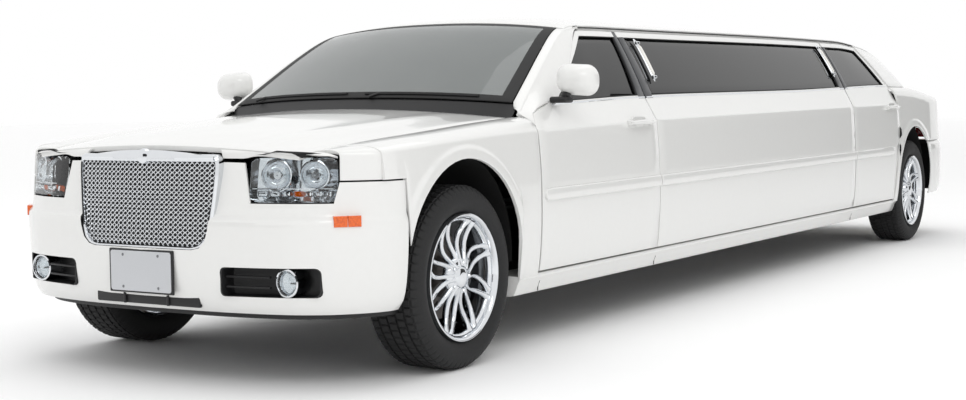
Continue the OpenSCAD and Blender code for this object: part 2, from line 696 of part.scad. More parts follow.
liner_r = arch_r + 14;
module wheelhouse(y, x0) {
    translate([0, y, arch_z])
        difference() {
            translate([x0, 0, 0])
                rotate([0, 90, 0])
                    cylinder(r = liner_r + 5, h = hw - 60 - x0, $fn = 96);
            translate([x0 - 1, 0, 0])
                rotate([0, 90, 0])
                    cylinder(r = liner_r, h = hw, $fn = 96);
            translate([x0 - 1, -600, -600])
                cube([hw, 1200, 560]);
        }
}
module wheelhouses() color(black) both_sides() {
    wheelhouse(fa, 470);
    wheelhouse(ra, 500);
}

// ---- Wheels -----------------------------------------------------------------------------

// Tyre section, turned about the wheel's axle along X
module tyre() {
    r0 = rim_d / 2 + 0.3;
    r1 = tyre_od / 2;
    w = tyre_w / 2;
    rotate([0, 90, 0])
        rotate_extrude($fn = 96)
            polygon([[r0, -w + 22], [r0 + 14, -w + 8], [mix(r0, r1, 0.45), -w], [r1 - 26, -w + 8],
                     [r1 - 8, -w + 26], [r1, -w + 60], [r1, w - 60], [r1 - 8, w - 26], [r1 - 26, w - 8],
                     [mix(r0, r1, 0.45), w], [r0 + 14, w - 8], [r0, w - 22]]);
}
// Rim with its barrel, spokes, hub and brake disc; the outer face points to +X
module rim() {
    r = rim_d / 2;
    w = tyre_w / 2 - 8;
    rotate([0, 90, 0]) {
        difference() {
            union() {
                rotate_extrude($fn = 96)
                    polygon([[r - 12, -w], [r, -w], [r, w], [r - 8, w + 6], [r - 26, w + 6], [r - 22, w - 14],
                             [r - 12, w - 30]]);
                cylinder(r = 78, h = w - 10);
                translate([0, 0, -32])
                    cylinder(r = 60, h = 40);
                translate([0, 0, -20])
                    cylinder(r = 175, h = 24);
            }
            translate([0, 0, -60])
                cylinder(r = stub_r + stub_fit, h = 100);
        }
        for (a = [0 : 45 : 315])
            rotate([0, 0, a])
                translate([70, -17, w - 34])
                    cube([r - 90, 34, 24]);
    }
}
module at_wheel(y, side) {
    translate([side * wheel_x, y, wheel_z])
        mirror([side < 0 ? 1 : 0, 0, 0])
            children();
}
module front_left_tyre() color("black") at_wheel(fa, 1) tyre();
module front_right_tyre() color("black") at_wheel(fa, -1) tyre();
module rear_left_tyre() color("black") at_wheel(ra, 1) tyre();
module rear_right_tyre() color("black") at_wheel(ra, -1) tyre();
module front_left_rim() color(chrome) at_wheel(fa, 1) rim();
module front_right_rim() color(chrome) at_wheel(fa, -1) rim();
module rear_left_rim() color(chrome) at_wheel(ra, 1) rim();
module rear_right_rim() color(chrome) at_wheel(ra, -1) rim();

// Steering knuckle: upright, stub axle for the wheel, and two ball joint pins
module knuckle() {
    x = -kingpin_in;
    translate([x - 18, -45, -140])
        cube([36, 90, 280]);
    translate([x, 0, 0])
        rotate([0, 90, 0])
            cylinder(r = stub_r, h = kingpin_in + 20);
    for (d = [-1, 1])
        translate([x, 0, d > 0 ? 140 : -165])
            cylinder(r = ball_pin_r, h = 25);
}
module left_knuckle() color("gray") at_wheel(fa, 1) knuckle();
module right_knuckle() color("gray") at_wheel(fa, -1) knuckle();

// ---- Cabin ------------------------------------------------------------------------------

module dashboard() color(black) {
    translate([-hw + 210, firewall_y + 1, 640])
        cube([2 * hw - 420, 250, 290]);
}

wheel_tilt = 25;
steer_y = firewall_y + 380;
steer_z = 800;
module steering_wheel() color(black)
    translate([driver_x, steer_y, steer_z])
        rotate([wheel_tilt - 90, 0, 0]) {
            rotate_extrude()
                translate([steering_d / 2 - 15, 0])
                    circle(r = 15);
            cylinder(r = 60, h = 30);
            for (a = [0, 120, 240])
                rotate([0, 0, a + 90])
                    translate([50, -15, 5])
                        cube([steering_d / 2 - 62, 30, 14]);
        }

driver_x = 436;
module seat(x, y, w, d, back) {
    translate([x - w / 2, y, floor_z + 110])
        cube([w, d, seat_h - 110]);
    translate([x - w / 2, y + d - 10, floor_z + 110])
        cube([w, 130, back]);
    translate([x - w / 2 + 40, y + 40, floor_z + 1])
        cube([w - 80, d - 80, 112]);
}
module front_seats() color("dimgray") {
    for (side = [-1, 1])
        seat(side * driver_x, fa + 1180, 480, 500, 680);
}

partition_y = fa + 1900;
module partition() color("dimgray")
    translate([-hw + 230, partition_y, floor_z + 1])
        cube([2 * hw - 460, 50, 960]);

module cabin_seats() color("dimgray") {
    bench_x = hw - 210;
    translate([-bench_x, partition_y + 250, floor_z + 1])
        cube([520, ra - 1320 - partition_y - 250, seat_h]);
    translate([-bench_x, partition_y + 250, floor_z + 1])
        cube([110, ra - 1320 - partition_y - 250, 640]);
    translate([-hw + 260, ra - 1020, floor_z + 1])
        cube([2 * hw - 520, 520, seat_h]);
    translate([-hw + 260, ra - 620, floor_z + 1])
        cube([2 * hw - 520, 120, 690]);
}

floor_pan();
subframes();
driveline();
engine();
exhaust();
fuel_tank();
wheelhouses();
front_fenders();
front_bumper();
grille();
headlamps();
fog_lamps();
front_plate();
rear_plate();
windshield();
roof();
centre_panels();
fixed_windows();
quarter_panels();
sills();
rear_bumper();
tail_lamps();
dashboard();
front_seats();
partition();
cabin_seats();
hood();
trunk_lid();
steering_wheel();
left_knuckle();
right_knuckle();
front_left_door();
front_right_door();
rear_left_door();
rear_right_door();
front_left_window();
front_right_window();
rear_left_window();
rear_right_window();
left_mirror();
right_mirror();
front_left_tyre();
front_right_tyre();
rear_left_tyre();
rear_right_tyre();
front_left_rim();
front_right_rim();
rear_left_rim();
rear_right_rim();
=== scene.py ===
"""Stretch limousine: painted body panels, glass, lamps, wheels, cabin and a studio stage."""

import math

import bmesh
import bpy
import numpy as np
from bpy.props import FloatProperty, IntProperty, PointerProperty, StringProperty
from mathutils import Matrix, Vector


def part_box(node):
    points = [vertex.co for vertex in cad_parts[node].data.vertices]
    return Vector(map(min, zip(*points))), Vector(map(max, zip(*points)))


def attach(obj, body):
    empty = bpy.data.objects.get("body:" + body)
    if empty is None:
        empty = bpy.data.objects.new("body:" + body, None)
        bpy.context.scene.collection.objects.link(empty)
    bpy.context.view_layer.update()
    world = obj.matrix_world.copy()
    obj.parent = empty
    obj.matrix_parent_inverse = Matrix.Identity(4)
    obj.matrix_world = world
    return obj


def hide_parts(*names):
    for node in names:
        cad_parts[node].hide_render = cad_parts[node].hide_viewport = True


bl_info = {
    "name": "Stretch Limousine",
    "version": (1, 0, 0),
    "blender": (4, 5, 0),
    "location": "View3D > Sidebar > Limousine",
    "description": "Builds a white stretch limousine on its packed frame",
    "category": "Object",
}

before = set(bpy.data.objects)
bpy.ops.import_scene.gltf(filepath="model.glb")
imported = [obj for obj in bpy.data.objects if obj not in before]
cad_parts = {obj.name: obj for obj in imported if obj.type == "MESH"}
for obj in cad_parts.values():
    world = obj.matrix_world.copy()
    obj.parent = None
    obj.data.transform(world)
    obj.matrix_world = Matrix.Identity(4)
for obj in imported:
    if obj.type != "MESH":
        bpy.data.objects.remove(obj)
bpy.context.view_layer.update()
MM = 0.001


def node_box(name):
    """Lowest and highest corner of a frame node, in millimetres."""
    return [[c / MM for c in corner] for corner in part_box(name)]


def middle(name, axis):
    low, high = node_box(name)
    return (low[axis] + high[axis]) / 2


# ---- Frame sizes, in millimetres ----------------------------------------------------------

FRONT_AXLE = round(middle("front_left_tyre", 1), 1)
REAR_AXLE = round(middle("rear_left_tyre", 1), 1)
WHEEL_X = round(middle("front_left_tyre", 0), 1)
WHEEL_Z = round(middle("front_left_tyre", 2), 1)
TYRE_R = (node_box("front_left_tyre")[1][2] - node_box("front_left_tyre")[0][2]) / 2
TYRE_HALF = (node_box("front_left_tyre")[1][0] - node_box("front_left_tyre")[0][0]) / 2
RIM_R = 254
HALF_W = 941
BODY_H = node_box("roof")[1][2]
NOSE = FRONT_AXLE - 832
TAIL = REAR_AXLE + 1065
ARCH_R = 405
ARCH_Z = 425
GAP = 7
DOOR_Z = 330
WING_Z = 772
BELT_IN = 78


# ---- Curves and body surfaces -------------------------------------------------------------

def mix(a, b, t):
    return a + (b - a) * t


def clamp(t, low=0.0, high=1.0):
    return max(low, min(high, t))


def steps(a, b, n):
    return [mix(a, b, i / n) for i in range(n + 1)]


def smooth(t):
    t = clamp(t)
    return t * t * (3 - 2 * t)


def slope(p, i):
    last = len(p) - 1
    if i in (0, last):
        a, b = (p[0], p[1]) if i == 0 else (p[last - 1], p[last])
        return (b[1] - a[1]) / (b[0] - a[0])
    before, after = p[i][1] - p[i - 1][1], p[i + 1][1] - p[i][1]
    return 0 if before * after <= 0 else (p[i + 1][1] - p[i - 1][1]) / (p[i + 1][0] - p[i - 1][0])


def curve(p, t):
    """Smooth curve through points (t, value), level past its ends."""
    t = clamp(t, p[0][0], p[-1][0])
    i = 0
    while i < len(p) - 2 and t >= p[i + 1][0]:
        i += 1
    (t0, v0), (t1, v1) = p[i], p[i + 1]
    h = t1 - t0
    s = (t - t0) / h
    return ((2 * s**3 - 3 * s * s + 1) * v0 + (s**3 - 2 * s * s + s) * h * slope(p, i)
            + (3 * s * s - 2 * s**3) * v1 + (s**3 - s * s) * h * slope(p, i + 1))


def at(p, d):
    return [(a + d, b) for a, b in p]


def along(front, rear):
    return at(front, FRONT_AXLE) + at(rear, REAR_AXLE)


SIDE_FRONT = at([(-700, 96), (-600, 52), (-480, 24), (-340, 9), (-150, 1), (0, 0)], FRONT_AXLE)
SIDE_REAR = at([(300, 0), (500, 7), (700, 28), (850, 62), (960, 110)], REAR_AXLE)
CREASE = along([(-600, 862), (0, 900), (600, 918), (1700, 946)], [(-2700, 966), (-1300, 980), (600, 992)])
BELT = along([(500, 1010), (760, 1026), (1670, 1054)],
             [(-2190, 1080), (-1340, 1098), (-500, 1112), (500, 1108)])
RAIL_IN = along([(600, 132), (800, 172), (1000, 214), (1180, 254), (1320, 276), (1500, 286), (2000, 288)],
                [(-1500, 288), (-600, 286), (-250, 288), (0, 280), (250, 262), (470, 238)])
RAIL_DROP = along([(600, 470), (800, 345), (1000, 222), (1180, 126), (1320, 88), (1500, 78), (2000, 73)],
                  [(-1500, 54), (-1000, 54), (-600, 72), (-250, 108), (0, 168), (250, 262), (470, 372)])
TOP_DROP = along([(600, 440), (800, 310), (1000, 184), (1180, 88), (1320, 46), (1500, 24), (1750, 6),
                  (2050, 0)],
                 [(-1300, 0), (-900, 6), (-600, 18), (-250, 56), (0, 118), (250, 226), (470, 350)])
TOP_BOW = along([(600, -135), (1250, -75), (1900, 0)], [(-900, 0), (-250, 45), (470, 90)])
HOOD_IN = at([(-790, 300), (-700, 280), (-400, 250), (0, 214), (300, 188), (640, 162)], FRONT_AXLE)
HOOD_Z = at([(-790, 846), (-700, 866), (-400, 905), (0, 938), (300, 962), (640, 984)], FRONT_AXLE)
HOOD_CROWN = at([(-790, 38), (-700, 34), (-400, 40), (0, 46), (300, 48), (640, 44)], FRONT_AXLE)
HOOD_FRONT = FRONT_AXLE - 700
HOOD_REAR = FRONT_AXLE + 590
NOSE_X = [(0, 0), (0.2, 0.36), (0.4, 0.64), (0.55, 0.79), (0.68, 0.885), (0.8, 0.948), (0.9, 0.98),
          (1, 0.992)]
NOSE_Y = [(0, 0), (0.2, 16), (0.4, 68), (0.55, 138), (0.68, 222), (0.8, 304), (0.9, 370), (1, 424)]
NOSE_SET = [(285, 52), (330, 24), (450, 6), (600, 0), (628, 4), (646, 30), (700, 44), (880, 74)]
TAIL_X = [(0, 0), (0.25, 0.40), (0.45, 0.70), (0.6, 0.86), (0.74, 0.95), (0.87, 0.99), (1, 1)]
TAIL_Y = [(0, 0), (0.25, 12), (0.45, 52), (0.6, 120), (0.74, 235), (0.87, 420), (1, 640)]
TAIL_SET = [(320, 60), (370, 20), (480, 2), (640, 0), (690, 14), (712, 50), (900, 64), (1000, 84)]
DECK_IN = at([(-440, 80), (-200, 84), (60, 110), (260, 170), (430, 232), (520, 250), (960, 262)], REAR_AXLE)
DECK_Z = at([(-440, 1112), (0, 1112), (430, 1106), (560, 1090), (960, 1064)], REAR_AXLE)


def crease_z(y):
    return curve(CREASE, y)


def belt_z(y):
    return curve(BELT, y)


def side_in(y):
    return curve(SIDE_FRONT, y) + curve(SIDE_REAR, y)


def side_x(y, z):
    """Half-width of the body side below the belt line."""
    zc, zb = crease_z(y), belt_z(y)
    if z <= zc:
        pull = curve([(240, 42), (310, 22), (430, 7), (600, 0), (760, 3), (zc, 16)], z)
    else:
        pull = curve([(zc, 16), (zc + 14, 25), (zb, BELT_IN)], z)
    return HALF_W - side_in(y) - pull


def flare(y, z):
    """How far the side stands out beside a wheel arch."""
    away = min(math.hypot(y - a, z - ARCH_Z) for a in (FRONT_AXLE, REAR_AXLE)) - ARCH_R
    return 8 * (1 - smooth((away - 34) / 26)) if z > 280 else 0


def rail_x(y):
    return HALF_W - curve(RAIL_IN, y)


def rail_z(y):
    return BODY_H - curve(RAIL_DROP, y)


def top_pt(u, y):
    """Windshield, roof and rear window, u across from -1 to 1."""
    rise = curve(RAIL_DROP, y) - curve(TOP_DROP, y)
    return [u * rail_x(y), y + curve(TOP_BOW, y) * (1 - u * u), rail_z(y) + rise * (1 - abs(u) ** 2.3)]


def house_x(y, z):
    """Half-width of the glasshouse side above the belt line."""
    zb = belt_z(y)
    t = clamp((z - zb) / max(rail_z(y) - zb, 1))
    return mix(HALF_W - side_in(y) - BELT_IN, rail_x(y), t) + 42 * t * (1 - t)


def seam_x(y):
    return HALF_W - curve(HOOD_IN, y)


def hood_pt(u, y, bow):
    return [u * seam_x(y), y - bow * (1 - u * u), curve(HOOD_Z, y) + curve(HOOD_CROWN, y) * (1 - u * u)]


def bezier(a, m, c, t):
    return [p * (1 - t) ** 2 + q * 2 * t * (1 - t) + r * t * t for p, q, r in zip(a, m, c)]


def fender_top(y, t):
    """Front fender's upper side, t = 0 at the hood seam and 1 at the crease."""
    a = [seam_x(y) + GAP, y, curve(HOOD_Z, y)]
    c = [HALF_W - side_in(y) - 16, y, crease_z(y)]
    return bezier(a, [c[0] - 22, y, max(a[2], c[2]) + 16], c, t)


def nose_pt(s, z):
    """Nose surface, s = 0 in the middle and 1 at the wheel arch. Its ledge fades at the corner."""
    b = curve(NOSE_SET, z)
    if z > 628:
        b = 4 + (b - 4) * (1 - 0.85 * clamp((s - 0.5) / 0.3))
    return [HALF_W * curve(NOSE_X, s) - b * s * s, NOSE + curve(NOSE_Y, s) + b * (1 - s * s), z]


def tail_pt(s, z):
    b = curve(TAIL_SET, z)
    return [HALF_W * curve(TAIL_X, s) - b * s * s / 2, TAIL - curve(TAIL_Y, s) - b * (1 - s * s), z]


def deck_pt(y):
    return [HALF_W - curve(DECK_IN, y), y, curve(DECK_Z, y)]


def shoulder(y, t):
    """Rear shoulder, t = 0 at the crease and 1 at the deck."""
    zc = crease_z(y)
    a, c = [side_x(y, zc), y, zc], deck_pt(y)
    return bezier(a, [a[0] - 10, y, max(a[2] + 30, c[2] - 6)], c, t)


# Door and window outlines: edges as (height, y), window rims as [low, low, top, top]
DOOR0 = FRONT_AXLE + 583
DOOR1 = DOOR0 + 1162
REAR0 = REAR_AXLE - 1354
FRONT_DOOR = dict(
    front=[(300, DOOR0), (930, DOOR0), (985, DOOR0 + 24), (1012, DOOR0 + 100), (1032, DOOR0 + 196)],
    rear=[(300, DOOR1), (1060, DOOR1)], top=[DOOR0 + 790, DOOR1 + 50], rim=[62, 72, 56, 34], low=DOOR_Z)
REAR_DOOR = dict(
    front=[(300, REAR0), (1100, REAR0)],
    rear=[(z, REAR_AXLE + d) for z, d in ((300, -470), (450, -462), (600, -438), (720, -396), (820, -366),
                                          (950, -378), (1110, -430))],
    top=[REAR0 + 50, REAR_AXLE - 620], rim=[62, 56, 40, 50], low=DOOR_Z)
CENTRE = dict(
    front=[(300, DOOR1 + GAP), (1060, DOOR1 + GAP)], rear=[(300, REAR0 - 10), (1100, REAR0 - 10)],
    top=[DOOR1 + 57, REAR0 + 40], rim=[84, 84, 60, 60], low=DOOR_Z)


# ---- Mesh building ------------------------------------------------------------------------

class Shape:
    """Collects parts of one piece: points, faces and the material of each face."""

    def __init__(self):
        self.points, self.faces, self.paint = [], [], []

    def add(self, points, faces, mat=0):
        k = len(self.points)
        self.points += [list(p) for p in points]
        self.faces += [[i + k for i in f] for f in faces]
        self.paint += list(mat) if isinstance(mat, list) else [mat] * len(faces)

    def mirrored(self):
        """Both sides of the car."""
        self.add([[-p[0], p[1], p[2]] for p in self.points], [f[::-1] for f in self.faces], list(self.paint))
        return self

    def moved(self, centre, side=1):
        """A copy carried to a wheel's centre, its outer face away from the car."""
        out = Shape()
        faces = self.faces if side > 0 else [f[::-1] for f in self.faces]
        out.add([[centre[0] + side * p[0], centre[1] + p[1], centre[2] + p[2]] for p in self.points],
                faces, list(self.paint))
        return out


def make(name, shape, mats, body, hides=(), crease=32):
    """One closed piece, riding on a body of the frame."""
    mesh = bpy.data.meshes.new(name)
    mesh.from_pydata([[c * MM for c in p] for p in shape.points], [], shape.faces)
    for mat in mats:
        mesh.materials.append(mat)
    mesh.polygons.foreach_set("material_index", shape.paint)
    bm = bmesh.new()
    bm.from_mesh(mesh)
    bmesh.ops.remove_doubles(bm, verts=bm.verts, dist=3e-5)
    bmesh.ops.dissolve_degenerate(bm, edges=bm.edges, dist=1e-5)
    bmesh.ops.recalc_face_normals(bm, faces=bm.faces)
    bm.to_mesh(mesh)
    bm.free()
    mesh.shade_smooth()
    mesh.set_sharp_from_angle(angle=math.radians(crease))
    piece = bpy.data.objects.new(name, mesh)
    bpy.context.scene.collection.objects.link(piece)
    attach(piece, body)
    if hides:
        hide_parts(*hides)
    return piece


def unit(v):
    return v / np.maximum(np.linalg.norm(v, axis=-1, keepdims=True), 1e-9)


def normals(g):
    return unit(np.cross(np.gradient(g, axis=0), np.gradient(g, axis=1)))


def slab(outer, inner, hole=None, lip=2.5, mats=(0, 0), pick=None):
    """Closed panel between an outer and an inner grid, its outer edges rolled over. hole is the
    window's (i0, i1, j0, j1). pick(i, j) gives a cell's own material."""
    g, q = np.array(outer, float), np.array(inner, float)
    n, m = g.shape[:2]
    i0, i1, j0, j1 = hole or (0, 0, 0, 0)
    inward = unit(q - g)
    out = np.zeros_like(g)
    hems = [[(i, 0) for i in range(n)] + [(n - 1, j) for j in range(1, m)]
            + [(i, m - 1) for i in range(n - 2, -1, -1)] + [(0, j) for j in range(m - 2, 0, -1)]]
    if hole:
        hems.append([(i, j0) for i in range(i0, i1 + 1)] + [(i1, j) for j in range(j0 + 1, j1 + 1)]
                    + [(i, j1) for i in range(i1 - 1, i0 - 1, -1)] + [(i0, j) for j in range(j1 - 1, j0, -1)])
    for which, hem in enumerate(hems):
        for i, j in hem:
            if which == 0:
                di, dj = (-1 if i == 0 else 1 if i == n - 1 else 0), (-1 if j == 0 else 1 if j == m - 1
                                                                      else 0)
            else:
                di, dj = (1 if i == i0 else -1 if i == i1 else 0), (1 if j == j0 else -1 if j == j1 else 0)
            if di:
                out[i, j] += unit(g[i, j] - g[i - di, j])
            if dj:
                out[i, j] += unit(g[i, j] - g[i, j - dj])
    shape = Shape()
    top = g - out * lip
    ids = lambda i, j: i * m + j
    keep = [(i, j) for i in range(n - 1) for j in range(m - 1)
            if not (i0 <= i < i1 and j0 <= j < j1)]
    choose = pick or (lambda i, j: mats[0])
    cells = [[ids(i, j), ids(i + 1, j), ids(i + 1, j + 1), ids(i, j + 1)] for i, j in keep]
    back = [[n * m + k for k in f[::-1]] for f in cells]
    points = list(top.reshape(-1, 3)) + list(q.reshape(-1, 3))
    faces, paint = cells + back, [choose(i, j) for i, j in keep] + [mats[1]] * len(back)
    for hem in hems:
        k = len(points)
        points += [g[i, j] - out[i, j] * lip * 0.3 + inward[i, j] * lip * 0.3 for i, j in hem]
        points += [g[i, j] + inward[i, j] * lip for i, j in hem]
        c = len(hem)
        for a in range(c):
            b = (a + 1) % c
            (ia, ja), (ib, jb) = hem[a], hem[b]
            rings = [[ids(ia, ja), k + a, k + c + a, n * m + ids(ia, ja)],
                     [ids(ib, jb), k + b, k + c + b, n * m + ids(ib, jb)]]
            own = choose(clamp(min(ia, ib), 0, n - 2), clamp(min(ja, jb), 0, m - 2))
            for r in range(3):
                faces.append([rings[0][r], rings[0][r + 1], rings[1][r + 1], rings[1][r]])
                paint.append(own)
    shape.add(points, faces, paint)
    return shape


def sheet(g, thick, lip=2.5, **more):
    """Panel whose outer face is the grid, thickened towards the inside of the car."""
    g = np.array(g, float)
    n = normals(g)
    centre = np.array([0, np.clip(g[..., 1].mean(), FRONT_AXLE, REAR_AXLE), 500.0])
    if (n * (g - centre)).sum() < 0:
        n = -n
    return slab(g, g - n * thick, lip=lip, **more)


def loft(rings, mat=0, ends=True):
    """Skin over rings of points, capped at both ends."""
    c = len(rings[0])
    points = [p for r in rings for p in r]
    faces = [[k * c + i, k * c + (i + 1) % c, (k + 1) * c + (i + 1) % c, (k + 1) * c + i]
             for k in range(len(rings) - 1) for i in range(c)]
    if ends:
        faces += [list(range(c))[::-1], [(len(rings) - 1) * c + i for i in range(c)]]
    return points, faces, mat


def rounded(w, h, r, n=3):
    """Outline of a rounded rectangle about the origin."""
    return [(sx * (w - r) + r * math.cos(a), sz * (h - r) + r * math.sin(a))
            for sx, sz, a0 in ((1, 1, 0), (-1, 1, 90), (-1, -1, 180), (1, -1, 270))
            for a in [math.radians(a0 + 90 * k / n) for k in range(n + 1)]]


def brick(low, high, r=4, mat=0):
    """Block with rounded edges between two corners."""
    (x0, y0, z0), (x1, y1, z1) = low, high
    r = min(r, (x1 - x0) / 2.01, (y1 - y0) / 2.01, (z1 - z0) / 2.01)
    cx, cz, w, h = (x0 + x1) / 2, (z0 + z1) / 2, (x1 - x0) / 2, (z1 - z0) / 2
    rings = []
    for y, pull in ((y0, r), (y0 + r * 0.3, r * 0.3), (y0 + r, 0), (y1 - r, 0), (y1 - r * 0.3, r * 0.3),
                    (y1, r)):
        rings.append([(cx + a, y, cz + b) for a, b in rounded(w - pull, h - pull, max(r - pull, r * 0.3))])
    return loft(rings, mat)


def tube(path, r, sides=8, mat=0, closed=False, flat=1.0):
    """Round bar along a path; r is one radius or one for each point, flat squashes it."""
    p = np.array(path, float)
    ahead = np.roll(p, -1, 0) - np.roll(p, 1, 0) if closed else np.gradient(p, axis=0)
    t = unit(ahead)
    up = np.array([0, 0, 1.0]) if abs(t[:, 2]).mean() < 0.8 else np.array([1.0, 0, 0])
    side = unit(np.cross(t, up))
    lift = np.cross(side, t)
    radii = r if hasattr(r, "__len__") else [r] * len(p)
    rings = [[p[k] + radii[k] * (math.cos(a) * side[k] + flat * math.sin(a) * lift[k])
              for a in [2 * math.pi * i / sides for i in range(sides)]] for k in range(len(p))]
    if closed:
        rings.append(rings[0])
    return loft(rings, mat, ends=not closed)


def lathe(profile, centre=(0, 0, 0), n=64, mat=0, axis=0):
    """Turned part: profile as (along, radius), round the X axis or, with axis=1, the Y axis."""
    rings = []
    for k in range(n):
        a = 2 * math.pi * k / n
        if axis == 0:
            rings.append([(centre[0] + x, centre[1] + r * math.cos(a), centre[2] + r * math.sin(a))
                          for x, r in profile])
        else:
            rings.append([(centre[0] + r * math.cos(a), centre[1] + x, centre[2] + r * math.sin(a))
                          for x, r in profile])
    c = len(profile)
    points = [p for r in rings for p in r]
    faces = [[k * c + i, k * c + i + 1, (k + 1) % n * c + i + 1, (k + 1) % n * c + i]
             for k in range(n) for i in range(c - 1)]
    faces += [[k * c + c - 1, k * c, (k + 1) % n * c, (k + 1) % n * c + c - 1] for k in range(n)] \
        if profile[0][1] > 0.5 and profile[-1][1] > 0.5 else []
    return points, faces, mat


# ---- Materials ----------------------------------------------------------------------------

def linear(code):
    """sRGB hex colour as linear RGBA."""
    parts = [int(code[i:i + 2], 16) / 255 for i in (1, 3, 5)]
    return [c / 12.92 if c <= 0.04045 else ((c + 0.055) / 1.055) ** 2.4 for c in parts] + [1.0]


def node(tree, kind, settings=None, links=None):
    """Adds a node, sets its properties or inputs, and links other nodes' outputs to it."""
    made = tree.nodes.new(kind)
    for key, value in (settings or {}).items():
        if key in made.inputs:
            made.inputs[key].default_value = value
        else:
            setattr(made, key, value)
    for key, source in (links or {}).items():
        tree.links.new(source, made.inputs[key])
    return made


def surface(name, colours, grain_mm, bump=0.0, rough=(0.4, 0.5), detail=3.0, kind="noise", **shader):
    """Principled material whose colour and roughness vary over a procedural grain of a size in mm."""
    mat = bpy.data.materials.new(name)
    mat.use_nodes = True
    tree = mat.node_tree
    tree.nodes.clear()
    place = node(tree, "ShaderNodeTexCoord")
    scale = 1000.0 / grain_mm
    if kind == "cells":
        grain = node(tree, "ShaderNodeTexVoronoi", {"Scale": scale, "feature": "F1"},
                     {"Vector": place.outputs["Object"]})
        height = grain.outputs["Distance"]
    else:
        grain = node(tree, "ShaderNodeTexNoise", {"Scale": scale, "Detail": detail, "Roughness": 0.55},
                     {"Vector": place.outputs["Object"]})
        height = grain.outputs["Fac"]
    blend = node(tree, "ShaderNodeMix", {"data_type": "RGBA"}, {"Factor": height})
    for socket, code in zip([s for s in blend.inputs if s.type == "RGBA"], (colours[0], colours[-1])):
        socket.default_value = linear(code)
    colour = [s for s in blend.outputs if s.type == "RGBA"][0]
    spread = node(tree, "ShaderNodeMapRange", {"To Min": rough[0], "To Max": rough[1]}, {"Value": height})
    links = {"Base Color": colour, "Roughness": spread.outputs["Result"]}
    if bump:
        links["Normal"] = node(tree, "ShaderNodeBump", {"Strength": 0.6, "Distance": bump * MM},
                               {"Height": height}).outputs["Normal"]
    skin = node(tree, "ShaderNodeBsdfPrincipled", shader, links)
    node(tree, "ShaderNodeOutputMaterial", None, {"Surface": skin.outputs["BSDF"]})
    return mat


MATS = {}


